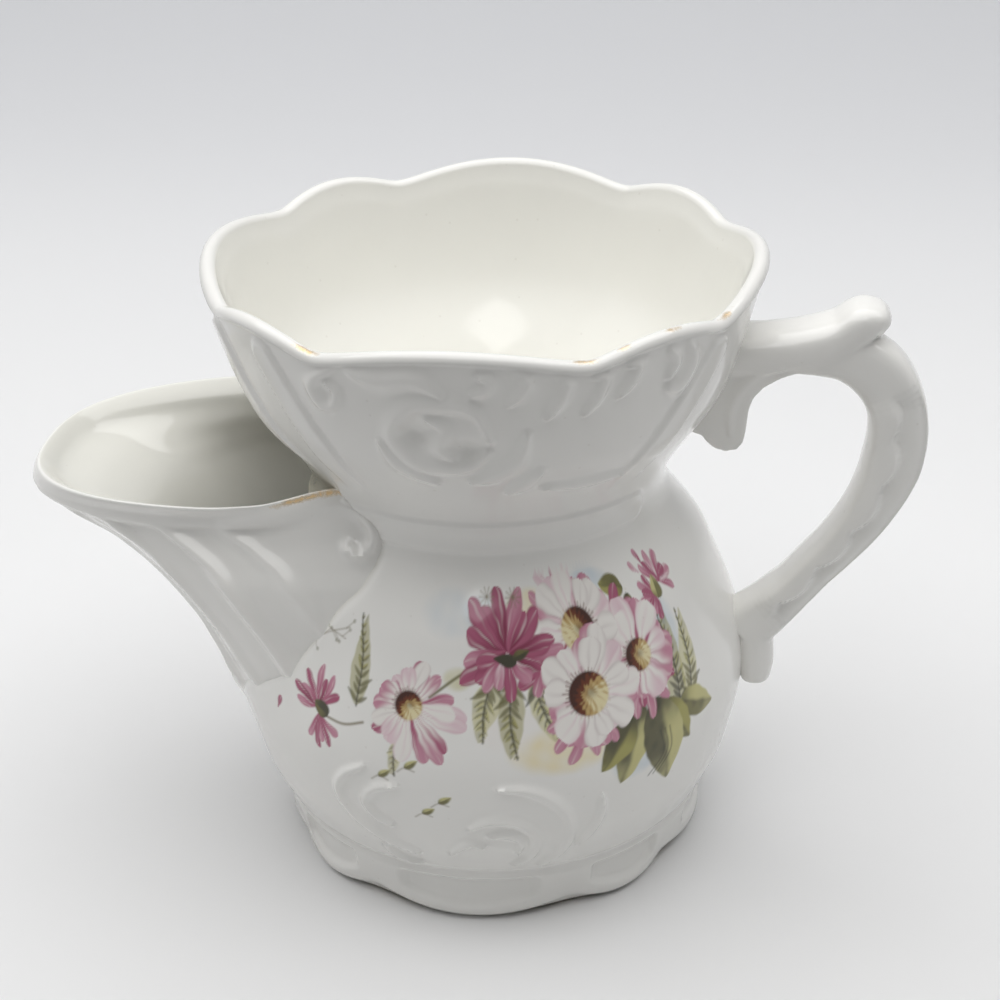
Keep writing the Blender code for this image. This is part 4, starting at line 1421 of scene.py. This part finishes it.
def buildSweep():
    bend, curve = studio["bend"], studio["bendRadius"]
    rows = [(studio["nearEdge"], 0.0), (-0.4, 0.0), (0.0, 0.0), (bend, 0.0)]
    rows += [away((bend, curve), turn - 90, curve) for turn in np.linspace(5, 90, 18)]
    rows.append((bend + curve, studio["wallTop"]))
    points = [(x, y, z) for y, z in rows for x in (-studio["halfWidth"], studio["halfWidth"])]
    faces = [(2 * k, 2 * k + 1, 2 * k + 3, 2 * k + 2) for k in range(len(rows) - 1)]
    mesh = bpy.data.meshes.new("paper_sweep")
    mesh.from_pydata(points, [], faces)
    mesh.shade_smooth()
    mesh.materials.append(paperMaterial())
    sweep = addObject("paper_sweep", mesh)


def addLamp(name, place, target, size, watts):
    lamp = bpy.data.lights.new(name, "AREA")
    lamp.shape = "SQUARE"
    lamp.size = size
    lamp.energy = watts
    obj = addObject(name, lamp)
    obj.location = place
    toward = Vector(target) - Vector(place)
    obj.rotation_euler = toward.to_track_quat("-Z", "Y").to_euler()


def buildRoom():
    # little light from the room itself, but a pale sky where it is seen
    world = bpy.data.worlds.new("room")
    world.use_nodes = True
    bpy.context.scene.world = world
    tree = world.node_tree
    dim, sky = studio["world"], studio["sky"]
    glow = mathNode(tree, "MULTIPLY_ADD", seenDirectly(tree), sky - dim, dim)
    background = tree.nodes["Background"]
    background.inputs["Color"].default_value = (1, 1, 1, 1)
    tree.links.new(glow, background.inputs["Strength"])


buildSweep()
for lamp in studio["lamps"]:
    addLamp(*lamp)
buildRoom()
print("studio built")

# the photograph's viewpoint
view = {
    "azimuth": 7.2,
    "elevation": 27.47,
    "roll": -1.09,
    "lens": 72.0,
    "place": (0.03826, -0.2890, 0.20999),
}


def setCamera():
    az, el, roll = (math.radians(view[key]) for key in ("azimuth", "elevation", "roll"))
    back = Vector((math.sin(az) * math.cos(el), -math.cos(az) * math.cos(el), math.sin(el)))
    right = Vector((0, 0, 1)).cross(back).normalized()
    up = back.cross(right)
    rightRolled = right * math.cos(roll) + up * math.sin(roll)
    upRolled = up * math.cos(roll) - right * math.sin(roll)
    data = bpy.data.cameras.new("camera")
    data.lens = view["lens"]
    data.sensor_width = 36.0
    data.clip_start = 0.01
    camera = addObject("camera", data)
    basis = Matrix((rightRolled, upRolled, back)).transposed().to_4x4()
    camera.matrix_world = Matrix.Translation(Vector(view["place"]) + Vector(axis)) @ basis
    bpy.context.scene.camera = camera


setCamera()
bpy.context.scene.view_settings.view_transform = "Standard"
bpy.context.view_layer.update()
print("scene ready")
